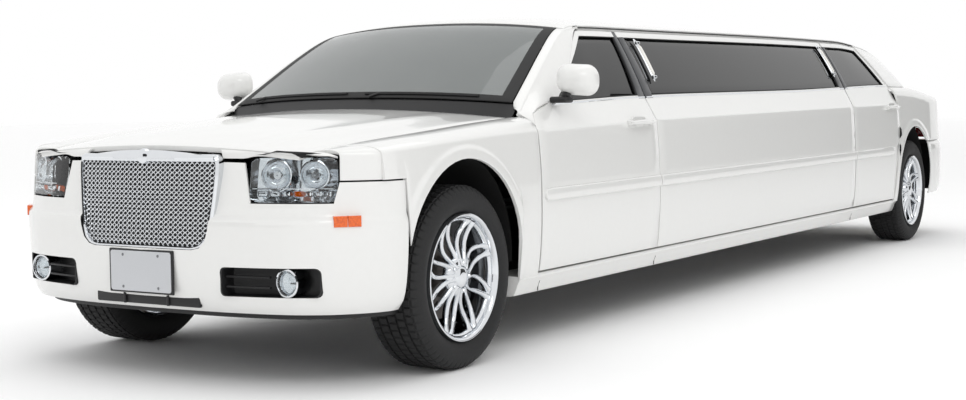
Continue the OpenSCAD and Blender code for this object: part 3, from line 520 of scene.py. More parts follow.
def build_materials(colours):
    """Every finish on the car, from its real stuff and how it was made; the windshield glass also carries a
    painted reflection.
    """
    # Two-coat white enamel under clear lacquer, sprayed: a deep gloss with a faint orange peel
    MATS["paint"] = surface("white_enamel_lacquered", (colours.paint, "#E3E3E1"), 26, 0.012, (0.34, 0.4),
                            **{"Coat Weight": 1.0, "Coat Roughness": 0.03, "Coat IOR": 1.5, "IOR": 1.5})
    # Bright chromium plate over polished metal: mirror sharp, with a breath of polishing haze
    MATS["chrome"] = surface("bright_chrome_plate", ("#E4E6E8", "#D9DCE0"), 60, 0, (0.03, 0.09), Metallic=1.0)
    # Grey cast aluminium, shot blasted: dull sparkle
    MATS["cast"] = surface("cast_aluminium_blasted", ("#8E9092", "#7A7C7F"), 2.5, 0.25, (0.42, 0.6),
                           Metallic=1.0)
    # Turned grey iron brake disc: machined, slightly rusty sheen
    MATS["iron"] = surface("turned_grey_iron", ("#6F6C69", "#5B5653"), 5, 0.1, (0.34, 0.5), Metallic=1.0)
    # Carbon-black tyre rubber, vulcanised in a mould: matt, greyer where it is scuffed
    MATS["rubber"] = surface("tyre_rubber_moulded", ("#0E0E0F", "#1D1D1E"), 9, 0.35, (0.62, 0.85), IOR=1.52)
    # Black ABS, injection moulded with a fine leather grain
    MATS["plastic"] = surface("black_abs_grained", ("#08080A", "#121214"), 1.8, 0.12, (0.42, 0.56),
                              kind="cells",
                              IOR=1.54)
    # Black satin film on the pillars: dark grey with a soft gloss
    MATS["pillar"] = surface("charcoal_satin_film", ("#2B2C2F", "#34363A"), 14, 0.02, (0.26, 0.34), IOR=1.5)
    # Bitumen underbody coating, sprayed: matt black and lumpy
    MATS["under"] = surface("underbody_coating_sprayed", ("#070707", "#101010"), 7, 0.9, (0.75, 0.92))
    # EPDM door seal, extruded: soft matt black
    MATS["seal"] = surface("rubber_seal_extruded", ("#050506", "#0B0B0C"), 4, 0.1, (0.55, 0.7))
    # Stainless exhaust tube, drawn, heat tinted
    MATS["steel"] = surface("stainless_tube_drawn", ("#B4AEA4", "#A39C90"), 40, 0.03, (0.2, 0.38),
                            Metallic=1.0)
    # Float glass with a dark privacy film: near black, mirror smooth
    MATS["tinted"] = surface("float_glass_privacy", (colours.tint, "#08090B"), 90, 0, (0.02, 0.035), IOR=1.45,
                            **{"Transmission Weight": 0.5, "Specular IOR Level": 0.3})
    # Laminated windshield glass: clear with a cool green-grey cast, plus a pale grey diffuse part that is a
    # painted reflection of the bright sky
    MATS["clear"] = surface("laminated_glass_painted_reflection", ("#A9AEAD", "#A0A6A5"), 240, 0, (0.015, 0.03), IOR=1.52,
                           **{"Transmission Weight": 0.62})
    # Polycarbonate lamp lens, hard coated: water clear and thick
    MATS["lens"] = surface("polycarbonate_lens", ("#F2F5F6", "#E8EDEF"), 80, 0, (0.01, 0.03), IOR=1.58,
                           **{"Transmission Weight": 1.0})
    # Vacuum-metallised reflector: bright silver
    MATS["reflector"] = surface("metallised_reflector", ("#F2F3F4", "#DCDFE3"), 18, 0.05, (0.05, 0.14),
                                Metallic=1.0)
    # Moulded acrylic, amber and red: deep colour with a wet gloss
    MATS["amber"] = surface("amber_acrylic_moulded", ("#E8680C", "#B84208"), 7, 0.5, (0.08, 0.2),
                            kind="cells",
                            IOR=1.49, **{"Coat Weight": 0.6, "Emission Strength": 0.12,
                                         "Emission Color": linear("#E8680C")})
    MATS["red"] = surface("red_acrylic_moulded", ("#B8101A", "#6E0A10"), 9, 0.5, (0.06, 0.16), kind="cells",
                          IOR=1.49, **{"Coat Weight": 0.8})
    # Blank plate, reflective film on aluminium: pale grey with fine beads
    MATS["plate"] = surface("plate_reflective_film", ("#C9CBCE", "#BEC0C4"), 1.5, 0.03, (0.3, 0.42),
                            kind="cells")
    # Black bovine leather, embossed and finished: fine pebbles, low sheen
    MATS["leather"] = surface("black_leather_embossed", ("#131314", "#1F1E1F"), 3.2, 0.35, (0.38, 0.55),
                              kind="cells", **{"Sheen Weight": 0.08, "Coat Weight": 0.12})
    # Loop-pile carpet: dark and soft
    MATS["carpet"] = surface("loop_pile_carpet", ("#0F0F12", "#232328"), 3, 1.2, (0.85, 0.98), kind="cells")
    # Opal acrylic with a chrome base for the pillar lamps
    MATS["opal"] = surface("opal_acrylic", ("#F4F2EC", "#E2E0DA"), 12, 0.1, (0.12, 0.22), IOR=1.49,
                           **{"Coat Weight": 0.5})
    # Painted studio floor: pale matt
    MATS["floor"] = surface("studio_floor_matt", ("#FEFEFE", "#FCFCFC"), 400, 0, (0.85, 0.95))


# ---- Body panels --------------------------------------------------------------------------

BELT_ROW = 17
WINDOW_TOP = 24


def wall_rows(y_low, y_top):
    zc, zb, zt = crease_z(y_low), belt_z(y_low), rail_z(y_top) - 24
    low = [zc + 4, zc + 9, zc + 14, zb - 34, zb - 12, zb]
    return low, steps(zb + 14, zt - 28, WINDOW_TOP - BELT_ROW) + [zt]


def wall_grid(w, n):
    """Outer grid of a door or wall: columns from front to back, rows from sill to rail."""
    def columns(a, b, wa, wb):
        return [a] + steps(a + wa, b - wb, n) + [b]
    yb = columns(w["front"][-1][1], w["rear"][-1][1], w["rim"][0], w["rim"][1])
    yt = columns(w["top"][0], w["top"][1], w["rim"][2], w["rim"][3])
    grid = []
    for k in range(n + 3):
        f = (yb[k] - yb[0]) / (yb[-1] - yb[0])
        low, high = wall_rows(yb[k], yt[k])
        column = []
        for z in steps(w["low"], crease_z(yb[k]) - 1, 11) + low[1:]:
            y = mix(curve(w["front"], z), curve(w["rear"], z), f)
            column.append([side_x(y, z) + flare(y, z), y, z])
        for z in high:
            y = mix(yb[k], yt[k], (z - low[-1]) / (high[-1] - low[-1]))
            column.append([house_x(y, z), y, z])
        grid.append(column)
    return grid


def wall_hole(n):
    return (1, n + 1, BELT_ROW, WINDOW_TOP)


def wall(w, n, deep, taper, pick=None):
    """Door or wall with its window opening; painted outside, trimmed inside."""
    g = wall_grid(w, n)
    last, rows = len(g) - 1, len(g[0]) - 1
    inner = []
    for i, column in enumerate(g):
        inner.append([])
        for j, (x, y, z) in enumerate(column):
            t = clamp((z - belt_z(y) + 60) / 90)
            dy = taper[0] if i == 0 else -taper[1] if i == last else 0
            dz = taper[2] if j == 0 else -taper[3] if j == rows else 0
            inner[-1].append([x - mix(deep, 36, t), y + dy, z + dz])
    return slab(g, inner, wall_hole(n), 3, (0, 1), pick)


def pane(w, n, inset=15):
    """Glass of a window opening, set back in its seal."""
    i0, i1, j0, j1 = wall_hole(n)
    g = [[[x - inset, y + (2.5 if i == i0 else -2.5 if i == i1 else 0),
           z + (1.5 if j == j0 else -1.5 if j == j1 else 0)]
          for j, (x, y, z) in enumerate(column) if j0 <= j <= j1]
         for i, column in enumerate(wall_grid(w, n)) if i0 <= i <= i1]
    return slab(g, [[[x - 5, y, z] for x, y, z in c] for c in g], lip=0.5)


def seal(w, n):
    """Rubber seal round a window opening."""
    i0, i1, j0, j1 = wall_hole(n)
    g = wall_grid(w, n)
    line = ([g[i][j0] for i in range(i0, i1 + 1)] + [g[i1][j] for j in range(j0 + 1, j1 + 1)]
            + [g[i][j1] for i in range(i1 - 1, i0 - 1, -1)] + [g[i0][j] for j in range(j1 - 1, j0, -1)])
    return tube([[x - 9, y, z] for x, y, z in line], 5.5, 6, closed=True)


def belt_strip(w, n):
    """Chrome strip under a window."""
    g = wall_grid(w, n)
    line = [g[i][BELT_ROW] for i in range(1, n + 2)]
    ends = [g[0][BELT_ROW], *line, g[-1][BELT_ROW]]
    return tube([[x + 1, y + (6 if k == 0 else -6 if k == len(ends) - 1 else 0), z - 9]
                 for k, (x, y, z) in enumerate(ends)], 6.5, 8, flat=0.8)


def moulding(y0, y1, round_front=False, round_rear=False):
    """Body-side rub strip, a crowned bar 58 mm tall with rounded ends."""
    rings = []
    ys = steps(y0, y1, max(6, int((y1 - y0) / 60)))
    ys = [y0 + 4, y0 + 14] + ys[1:-1] + [y1 - 14, y1 - 4]
    for y in [y0] + ys + [y1]:
        into = min(y - y0 if round_front else 999, y1 - y if round_rear else 999)
        s = math.sqrt(clamp(1 - (1 - clamp(into / 26, 0.04, 1)) ** 2))
        h, out = 27 * s, 13 * min(1, 0.4 + s) if into < 26 else 13
        if not round_front and y == y0 or not round_rear and y == y1:
            h, out = h - 3, out - 3
        mid = 652 + (y - DOOR0) * 0.0035
        rings.append([(side_x(y, mid + v * h) + d * out, y, mid + v * h)
                      for v, d in ((-1, -0.3), (-1, 0.35), (-0.82, 0.8), (-0.3, 1), (0.3, 1), (0.82, 0.8),
                                   (1, 0.35), (1, -0.3))])
    return loft(rings)


def handle(y, z):
    """Pull handle: bowed bar over a shallow cup, with its two feet and lock button."""
    shape = Shape()
    x = side_x(y + 120, z)
    bar = [[x + 16 + 16 * math.sin(math.pi * t), y + 240 * t, z + 3 * math.sin(math.pi * t)]
           for t in steps(0, 1, 14)]
    shape.add(*tube(bar, [9 + 6 * math.sin(math.pi * clamp(t, 0.08, 0.92)) for t in steps(0, 1, 14)], 12,
                    flat=0.8))
    for d in (12, 228):
        shape.add(*brick((x - 8, y + d - 14, z - 12), (x + 22, y + d + 14, z + 12), 8))
    shape.add(*lathe([(x - 2, 0), (x + 5, 0.1), (x + 5, 9), (x + 2, 11), (x - 2, 11)], (0, y + 262, z), 20))
    return shape


def handle_cup(y, z):
    """Dark recess behind the handle's bar."""
    x = side_x(y + 120, z)
    rings = [[(x + d, y + 120 + a * (1 - k * 0.18), z + b * (1 - k * 0.2)) for a, b in rounded(74, 27, 26, 5)]
             for k, d in ((0, -6), (0, 1.2), (1, 1.6), (3, 0.6))]
    return loft(rings, 0)


class LimousineSizes(bpy.types.PropertyGroup):
    """Sizes that a user would change."""
    wire_pitch: FloatProperty(name="Grille Wire Pitch",
                              description="Distance between the wires of the grille",
                              default=0.023, min=0.012, max=0.05, unit="LENGTH")
    wire_radius: FloatProperty(name="Grille Wire Radius", description="Half the thickness of a grille wire",
                               default=0.0021, min=0.001, max=0.004, unit="LENGTH")
    spoke_pairs: IntProperty(name="Spoke Pairs", description="Number of twin spokes in a wheel",
                             default=8, min=5, max=12)
    tread_blocks: IntProperty(name="Tread Blocks", description="Blocks round each rib of a tyre",
                              default=66, min=40, max=90)
    camera_lens: FloatProperty(name="Camera Lens",
                               description="Focal length of the studio camera on a 36 mm sensor",
                               default=57.4, min=20, max=200)


class LimousineColours(bpy.types.PropertyGroup):
    """Colours that a user would change, as sRGB hex."""
    paint: StringProperty(name="Body Colour", description="Enamel of the body panels", default="#E6E6E4")
    tint: StringProperty(name="Window Tint", description="Film on the side windows", default="#050607")


class LIMO_OT_panels(bpy.types.Operator):
    """Builds the fixed painted panels."""
    bl_idname = "limo.panels"
    bl_label = "Body Panels"

    def execute(self, context):
        paint = [MATS["paint"], MATS["under"]]
        arch = [FRONT_AXLE + ARCH_R * math.cos(math.pi * (1 - k / 26)) for k in range(27)]
        fender = []
        ys = steps(FRONT_AXLE - 515, arch[0] - 12, 4) + arch + steps(arch[-1] + 12, DOOR0 - 10, 5)
        for y in ys:
            low = WING_Z if y < arch[0] + 1 else DOOR_Z - 20
            away = ARCH_R**2 - (y - FRONT_AXLE) ** 2
            if away > 30:
                low = max(low, ARCH_Z + math.sqrt(away)) if y > FRONT_AXLE else \
                    max(ARCH_Z + math.sqrt(away), WING_Z if y < FRONT_AXLE - 398 else 0)
            fender.append([[side_x(y, z) + flare(y, z), y, z]
                           for z in [mix(low, crease_z(y) - 5, t) for t in steps(0, 1, 16)]]
                          + [fender_top(y, t) for t in steps(0.97, 0, 10)])
        shape = Shape()
        part = sheet(fender, 14, mats=(0, 1))
        corner = []
        for s in steps(0.85, 0.626, 12):
            c = nose_pt(s, 862)
            a = [seam_x(c[1]) + GAP, c[1], curve(HOOD_Z, c[1])]
            corner.append([nose_pt(s, z) for z in steps(WING_Z, 856, 7)]
                          + [bezier(c, [c[0] - 8, c[1], max(a[2], c[2]) + 14], a, t)
                             for t in steps(0.1, 1, 8)])
        beside = sheet(corner, 14, lip=2, mats=(0, 1))
        shape.add(beside.points, beside.faces, beside.paint)
        shape.add(part.points, part.faces, part.paint)
        make("front_fender_panels", shape.mirrored(), paint, "body", ["front_fenders"])
        quarter = []
        end = TAIL - 122
        inner_y = [REAR_AXLE + ARCH_R * math.cos(math.pi * (1 - k / 26)) for k in range(27)]
        for k, ym in enumerate([REAR_AXLE - 480] + inner_y + steps(inner_y[-1] + 14, end, 10)):
            low = DOOR_Z - 20 if ym < REAR_AXLE else 716
            away = ARCH_R**2 - (ym - REAR_AXLE) ** 2
            if away > 30:
                low = max(ARCH_Z + math.sqrt(away), low if ym > REAR_AXLE + 284 else 0)
            row = []
            for z in [mix(low, crease_z(ym) - 5, v) for v in steps(0, 1, 16)]:
                y = max(ym, curve(REAR_DOOR["rear"], z) + 11 + 2.5 * k)
                row.append([side_x(y, z) + flare(y, z), y, z])
            for v in steps(0.04, 1, 10):
                y = max(ym, curve(REAR_DOOR["rear"], mix(992, 1110, v)) + 11 + 2.5 * k)
                row.append(shoulder(y, v))
            quarter.append(row)
        shape = Shape()
        part = sheet(quarter, 14, mats=(0, 1))
        shape.add(part.points, part.faces, part.paint)
        make("quarter_panel_skins", shape.mirrored(), paint, "body", ["quarter_panels"])
        n = 40
        face = [[[(1 if s >= 0 else -1) * p[0], p[1], p[2]] for z in
                 steps(285, 596, 9) + [604, 612, 624, 634, 642] + steps(652, self.top(s), 6)
                 for p in [nose_pt(abs(s), min(z, self.top(s)))]]
                for s in [k / n - 1 for k in range(2 * n + 1)]]
        shape = Shape()
        part = sheet(face, 8, lip=1.5, mats=(0, 1))
        shape.add(part.points, part.faces, part.paint)
        bumper = make("front_bumper_skin", shape, paint, "body", ["front_bumper"])
        holes = Shape()
        holes.add(*loft([[(x, y, z) for x, z in scaled(GRILLE_OUTLINE, 0.985, 0.985)]
                         for y in (NOSE - 120, NOSE + 300)]))
        fog = [(555 + a, 405 + b) for a, b in rounded(188, 54, 20)]
        for side in (1, -1):
            ring = [(side * x, z) for x, z in fog][::side]
            holes.add(*loft([[(x, y, z) for x, z in ring] for y in (NOSE - 120, NOSE + 420)]))
        holes.add(*brick((-255, NOSE - 120, 306), (255, NOSE + 160, 334), 8))
        cut = make("bumper_openings", holes, [MATS["under"]], "body")
        mod = bumper.modifiers.new("openings", "BOOLEAN")
        mod.operation, mod.object, mod.solver = "DIFFERENCE", cut, "EXACT"
        mesh = bpy.data.meshes.new_from_object(bumper.evaluated_get(context.evaluated_depsgraph_get()))
        bumper.modifiers.clear()
        bumper.data = mesh
        mesh.set_sharp_from_angle(angle=math.radians(32))
        bpy.data.objects.remove(cut)
        self.brow(paint)
        self.rear(paint)
        self.sills()
        return {"FINISHED"}

    def top(self, s):
        """Upper edge of the front bumper at a place across."""
        s = abs(s)
        return 842 - 60 * s * s if s < 0.288 else 690 if s < 0.622 else WING_Z - 6

    def brow(self, paint):
        """Strips of the nose between the hood and the headlamps and grille."""
        lower = [nose_pt(s, 852 + 8 * smooth((s - 0.27) / 0.04)) for s in steps(0.205, 0.618, 26)]
        upper = []
        for k in range(len(lower)):
            t = k / (len(lower) - 1)
            if t < 0.84:
                p = hood_pt(mix(0.5, 1, t / 0.84), HOOD_FRONT, 45)
                upper.append([p[0] + 7 * t, p[1] - GAP, p[2] - 5])
            else:
                y = mix(HOOD_FRONT, nose_pt(0.624, 862)[1], (t - 0.84) / 0.16)
                upper.append([seam_x(y) + GAP, y, curve(HOOD_Z, y) - 2])
        grid = [[[mix(a, b, v) + e * math.sin(math.pi * v) for a, b, e in zip(p, q, (3, -5, 5))]
                 for v in steps(0, 1, 6)] for p, q in zip(lower, upper)]
        shape = sheet(grid, 10, mats=(0, 1))
        make("nose_brow_panels", shape.mirrored(), paint, "body")

    def rear(self, paint):
        n = 30
        zs = steps(320, 640, 10) + [655, 670, 685, 694, 702, 712]
        grid = [[[(1 if s >= 0 else -1) * p[0], p[1], p[2]] for z in zs for p in [tail_pt(abs(s), z)]]
                for s in [0.985 * (1 - k / n) for k in range(2 * n + 1)]]
        wrap = []
        for t in steps(0, 0.86, 6):
            wrap.append([])
            for z, p in zip(zs, grid[0]):
                y = mix(REAR_AXLE + math.sqrt(ARCH_R**2 - (z - ARCH_Z) ** 2) + 4, p[1], t)
                wrap[-1].append([mix(side_x(y, z) + flare(y, z), p[0], smooth(t)), y, z])
        grid = wrap + grid + [[[-p[0], p[1], p[2]] for p in row] for row in wrap[::-1]]
        make("rear_bumper_skin", sheet(grid, 8, mats=(0, 1)), paint, "body", ["rear_bumper"])

    def sills(self):
        ys = steps(FRONT_AXLE + ARCH_R + 10, REAR_AXLE - ARCH_R - 10, 50)
        grid = [[[side_x(y, max(z, 250)) + d, y, z] for z, d in
                 ((237, -30), (240, -12), (252, -4), (288, -2), (300, 1), (308, 3), (312, -1), (322, -5))]
                for y in ys]
        inner = [[[HALF_W - 190, p[1], p[2] + (1 if p[2] < 245 else 0)] for p in row] for row in grid]
        shape = slab(grid, inner, lip=1.5)
        for y in (DOOR0 + 18, DOOR1 + 4, REAR0 - 4):
            edge = [(side_x(y, 252) - 2, y, 244), (side_x(y, 262) - 2.5, y, 268),
                    (side_x(y, 284) - 1, y, 288)]
            shape.add(*tube(edge, 1.8, 6, mat=1))
        make("sill_covers", shape.mirrored(), [MATS["paint"], MATS["seal"]], "body", ["sills"])


GRILLE_OUTLINE = [(-338, 868), (338, 868), (352, 842), (350, 790), (340, 690), (326, 590), (312, 548),
                  (284, 522),
                  (248, 514), (-248, 514), (-284, 522), (-312, 548), (-326, 590), (-340, 690), (-350, 790),
                  (-352, 842)]


class LIMO_OT_roof(bpy.types.Operator):
    """Builds the roof skin with its pillars, and the front and rear glass."""
    bl_idname = "limo.roof"
    bl_label = "Roof, Pillars And Screens"

    def execute(self, context):
        ys = steps(FRONT_AXLE + 1272, FRONT_AXLE + 2100, 14) + steps(FRONT_AXLE + 2250, REAR_AXLE - 1500,
                                                                     14) \
            + steps(REAR_AXLE - 1400, REAR_AXLE - 262, 16)
        shape = sheet([[top_pt(1 - k / 16, y) for k in range(33)] for y in ys], 26, lip=4, mats=(0, 1))
        front = Shape()
        grid = []
        for y in steps(FRONT_AXLE + 586, FRONT_AXLE + 1400, 26):
            if y < DOOR0 + 196:
                zd = float(np.interp(y, [DOOR0, DOOR0 + 24, DOOR0 + 100, DOOR0 + 196],
                                     [930, 985, 1012, 1032])) + 9
                edge = [(side_x(y, zd) if zd < belt_z(y) else house_x(y, zd)), y, zd]
            else:
                t = (y - DOOR0 - 196) / 594
                zd = mix(belt_z(y), rail_z(y) - 24, clamp(t)) + 8
                edge = [house_x(y, zd), y, zd]
            rim = [rail_x(y) + 14, y, rail_z(y) - 14]
            zd = min(edge[2], rim[2] - 3)
            edge = [edge[0] if zd == edge[2] else rim[0] + 1, y, zd]
            glass = top_pt(0.962, y)
            glass = [glass[0], max(glass[1], FRONT_AXLE + 634 - 6), glass[2]]
            row = [bezier(glass, [rim[0] - 2, y, rim[2] + 12], rim, t) for t in steps(0, 1, 5)]
            row += [[mix(rim[0], edge[0], t) + 6 * math.sin(math.pi * t), y, mix(rim[2], edge[2], t)]
                    for t in steps(0, 1, 6)[1:]]
            if y > FRONT_AXLE + 1272:
                roof = [rail_x(y) + 3, y, rail_z(y) - 3]
                row = [bezier(roof, [rim[0], y, rim[2] + 6], rim, t) for t in steps(0, 1, 5)] + row[6:]
            grid.append(row)
        part = sheet(grid, 16, lip=2, mats=(0, 1))
        front.add(part.points, part.faces, part.paint)
        rear, grid = Shape(), []
        for t in steps(0, 1, 30):
            y = mix(REAR_AXLE - 590, REAR_AXLE + 462, t)
            foot = deck_pt(mix(REAR_AXLE - 412, REAR_AXLE + 470, t))
            foot = [foot[0] - 1, foot[1], foot[2] + 2]
            rim = [rail_x(y) + 12, y, rail_z(y) - 14]
            top = top_pt(0.962, y) if y > REAR_AXLE - 262 else [rail_x(y) + 3, y, rail_z(y) - 3]
            row = [bezier(top, [rim[0], y, rim[2] + 12], rim, v) for v in steps(0, 1, 5)]
            bulge = 30 * (1 - t)
            row += [[mix(rim[0], foot[0], v) + bulge * 2.2 * v * (1 - v), mix(rim[1], foot[1], v),
                     mix(rim[2], foot[2], v)] for v in steps(0, 1, 10)[1:]]
            grid.append(row)
        part = sheet(grid, 14, lip=2, mats=(0, 1))
        rear.add(part.points, part.faces, part.paint)
        for pillar in (front.mirrored(), rear.mirrored()):
            shape.add(pillar.points, pillar.faces, pillar.paint)
        edge = [top_pt(1, y) for y in steps(FRONT_AXLE + 1400, REAR_AXLE - 600, 60)]
        drip = Shape()
        drip.add(*tube([[x + 8, y, z - 11] for x, y, z in edge], 3.6, 6, mat=1))
        drip.mirrored()
        shape.add(drip.points, drip.faces, drip.paint)
        make("roof_and_pillars", shape, [MATS["paint"], MATS["seal"]], "body", ["roof"])
        # The windshield's clear material carries a painted pale grey reflection in its colour
        for name, y0, y1, mat, slot in (
                ("windshield_glass", FRONT_AXLE + 647, FRONT_AXLE + 1262, "clear", "clear_glass"),
                ("rear_window_glass", REAR_AXLE - 250, REAR_AXLE + 455, "tinted", "tinted_glass")):
            grid = [[top_pt((1 - k / 14) * 0.955, y) for k in range(29)] for y in steps(y0, y1, 16)]
            frit = lambda i, j: 1 if i < 1 or i > 14 or j < 1 or j > 26 else 0
            hide = ["windshield"] if mat == "clear" else []
            make(name, sheet(grid, 5, lip=1, mats=(0, 0), pick=frit), [MATS[mat], MATS["seal"]], "body",
                 hide)
        return {"FINISHED"}


class LIMO_OT_closures(bpy.types.Operator):
    """Builds the hood, the trunk lid, the cowl and the wipers."""
    bl_idname = "limo.closures"
    bl_label = "Hood, Trunk Lid And Cowl"

    def execute(self, context):
        paint = [MATS["paint"], MATS["under"]]
        n = 44
        grid = []
        for k in range(41):
            u = 1 - k / 20
            row = []
            for i in range(n + 1):
                p = hood_pt(u, mix(HOOD_FRONT, HOOD_REAR, i / n), mix(45, 150, i / n))
                ridge = math.exp(-((abs(u) - mix(0.62, 0.74, i / n)) / 0.07) ** 2)
                p[2] += 5 * ridge * smooth(i / 8) * smooth((n - i) / 6) - 3 * smooth((i - n + 2) / 2)
                row.append(p)
            grid.append(row)
        make("hood_skin", sheet(grid, 20, lip=4, mats=(0, 1)), paint, "hood", ["hood"])
        cowl = [[[mix(a, b, t) for a, b in zip([p[0], p[1] + 9, p[2] - 16],
                                               [q[0] * 0.985, q[1] - 2, q[2] - 9])]
                 for t in steps(0, 1, 5)]
                for u in [1 - k / 15 for k in range(31)]
                for p, q in [(hood_pt(u, HOOD_REAR, 150), top_pt(u, FRONT_AXLE + 648))]]
        shape = sheet(cowl, 8, lip=1.5)
        for x0, x1 in ((60, 610), (-560, -40)):
            line = []
            for x in steps(x0, x1, 14):
                y = FRONT_AXLE + 664
                u = x / rail_x(y)
                p = top_pt(u, y)
                line.append([p[0], p[1] + 6, p[2] + 9])
            shape.add(*tube(line, 5, 6))
            shape.add(*tube([[x, y - 5, z - 4] for x, y, z in line], 3.5, 6))
            pivot = line[0] if x0 < 0 else line[2]
            shape.add(*tube([[pivot[0] - 40, pivot[1] - 30, pivot[2] - 16], pivot], 6, 8))
        make("cowl_and_wipers", shape, [MATS["plastic"]], "body")
        lid0, half = REAR_AXLE + 505, HALF_W - 268
        grid = []
        for k in range(29):
            u = 1 - k / 14
            crown = 26 * (1 - u * u)
            back = [[u * half, TAIL - 66 - 40 * u * u - 0.1 * (z - 745), z] for z in steps(745, 1010, 10)]
            lip = [back[-1], [u * half, TAIL - 84 - 40 * u * u, 1070 + crown],
                   [u * half, TAIL - 150 - 40 * u * u, 1068 + crown]]
            deck = [[u * half, mix(TAIL - 150 - 40 * u * u, lid0 + 95 * (1 - u * u), t),
                     1068 + crown + 14 * t]
                    for t in steps(0, 1, 8)[1:]]
            grid.append(back + [bezier(*lip, t) for t in steps(0, 1, 6)[1:]] + deck)
        shape = sheet(grid, 20, lip=4, mats=(0, 1))
        bar = [[u * 330, TAIL - 60 - 40 * (u * 330 / half) ** 2 - 0.1 * 180, 925] for u in steps(-1, 1, 20)]
        shape.add(*tube(bar, 9, 8, mat=2, flat=1.5))
        make("trunk_lid_skin", shape, paint + [MATS["chrome"]], "trunk_lid", ["trunk_lid"])
        return {"FINISHED"}


class LIMO_OT_doors(bpy.types.Operator):
    """Builds the doors and centre walls with their glass, seals, handles and mouldings."""
    bl_idname = "limo.doors"
    bl_label = "Doors And Centre Walls"

    def execute(self, context):
        mats = [MATS["paint"], MATS["leather"], MATS["pillar"], MATS["seal"], MATS["chrome"], MATS["plastic"]]
        walls = (("front", FRONT_DOOR, 22, 92, (24, 24, 24, 20)),
                 ("rear", REAR_DOOR, 20, 92, (24, 24, 24, 20)),
                 ("centre", CENTRE, 60, 80, (1, 60, 1, 20)))
        for which, w, n, deep, taper in walls:
            def pick(i, j, n=n, which=which):
                if j < BELT_ROW - 1:
                    return 0
                if which == "centre":
                    return 2 if i in (0, n + 1) and j < WINDOW_TOP else 0
                if which == "front":
                    return 2 if i >= n + 1 else 0
                return 2 if i == 0 and j < WINDOW_TOP else 0
            shape = wall(w, n, deep, taper, pick)
            for part, mat in ((seal(w, n), 3), (belt_strip(w, n), 4)):
                shape.add(part[0], part[1], mat)
            y0, y1 = w["front"][0][1], w["rear"][0][1]
            if which == "front":
                shape.add(*moulding(y0 + 18, y1 - 2, round_front=True))
            elif which == "rear":
                shape.add(*moulding(y0 + 2, REAR_AXLE - 525, round_rear=True))
            else:
                shape.add(*moulding(y0 + 2, y1 - 2))
            if which != "centre":
                y, z = (DOOR1 - 320, 940) if which == "front" else (REAR_AXLE - 660, 972)
                cup = handle_cup(y, z)
                shape.add(cup[0], cup[1], 0)
                grip = handle(y, z)
                shape.add(grip.points, grip.faces, 0)
                rest = [[side_x(y, 700) - deep - 16, yy, 720] for yy in steps(y0 + 160, y1 - 160, 12)]
                shape.add(*tube(rest, [18] + [30] * 11 + [18], 12, mat=5))
            glass = pane(w, n)
            if which == "centre":
                make("centre_wall_panels", shape.mirrored(), mats, "body", ["centre_panels"])
                make("centre_window_glass", glass.mirrored(), [MATS["tinted"]], "body",
                     ["fixed_windows"])
                continue
            for side, label in ((1, "left"), (-1, "right")):
                body = f"{which}_{label}_door"
                make(f"{body}_skin", shape.moved((0, 0, 0), side), mats, body, [body])
                make(f"{which}_{label}_window_glass", glass.moved((0, 0, 0), side), [MATS["tinted"]], body,
                     [f"{which}_{label}_window"])
        return {"FINISHED"}


class LIMO_OT_mirrors(bpy.types.Operator):
    """Builds the door mirrors."""
    bl_idname = "limo.mirrors"
    bl_label = "Door Mirrors"

    def execute(self, context):
        y = DOOR0 + 250
        zb = belt_z(y) + 26
        x = house_x(y, zb)
        shape = Shape()
        rings = []
        for t in steps(0, 1, 16):
            bulge = math.sqrt(clamp(1 - (1 - t) ** 2.4)) if t < 1 else 1
            w, h = 97 * mix(0.12, 1, bulge), 68 * mix(0.1, 1, bulge)
            rings.append([(x + 116 + a, y - 54 + 94 * t, zb + 84 + b - 0.06 * a)
                          for a, b in rounded(w, h, min(w, h) * 0.86, 7)])
        back = [(x + 116 + a, y + 44, zb + 84 + b - 0.06 * a) for a, b in rounded(91, 62, 50, 7)]
        inner = [(x + 116 + a, y + 30, zb + 84 + b - 0.06 * a) for a, b in rounded(87, 58, 48, 7)]
        points, faces, _ = loft(rings + [back, inner])
        c = len(rings[0])
        paint = [1 if f_index // c >= 16 else 0 for f_index in range(len(faces) - 2)] + [0, 2]
        shape.add(points, faces, paint)
        shape.add(*brick((x + 9, y - 45, zb - 16), (x + 96, y + 26, zb + 12), 10, mat=1))
        shape.add(*tube([[x + 66, y - 6, zb + 4], [x + 84, y - 6, zb + 34]], 20, 14, mat=1))
        for side, label in ((1, "left"), (-1, "right")):
            make(f"{label}_mirror_shell", shape.moved((0, 0, 0), side),
                 [MATS["paint"], MATS["plastic"], MATS["chrome"]], f"front_{label}_door",
                 [f"{label}_mirror"])
        return {"FINISHED"}


# ---- Nose, tail and trim ------------------------------------------------------------------

def inside(x, z, outline):
    hit = False
    for (x0, z0), (x1, z1) in zip(outline, outline[1:] + outline[:1]):
        if (z0 > z) != (z1 > z) and x < (x1 - x0) * (z - z0) / (z1 - z0) + x0:
            hit = not hit
    return hit


def scaled(outline, sx, sz, mid=690):
    return [(x * sx, mid + (z - mid) * sz) for x, z in outline]


def grille_y(x, z):
    """Face of the grille, bowed in plan and leaning back at the top."""
    return NOSE + 15 + 20 * (x / 350) ** 2 + 0.08 * (z - 520)


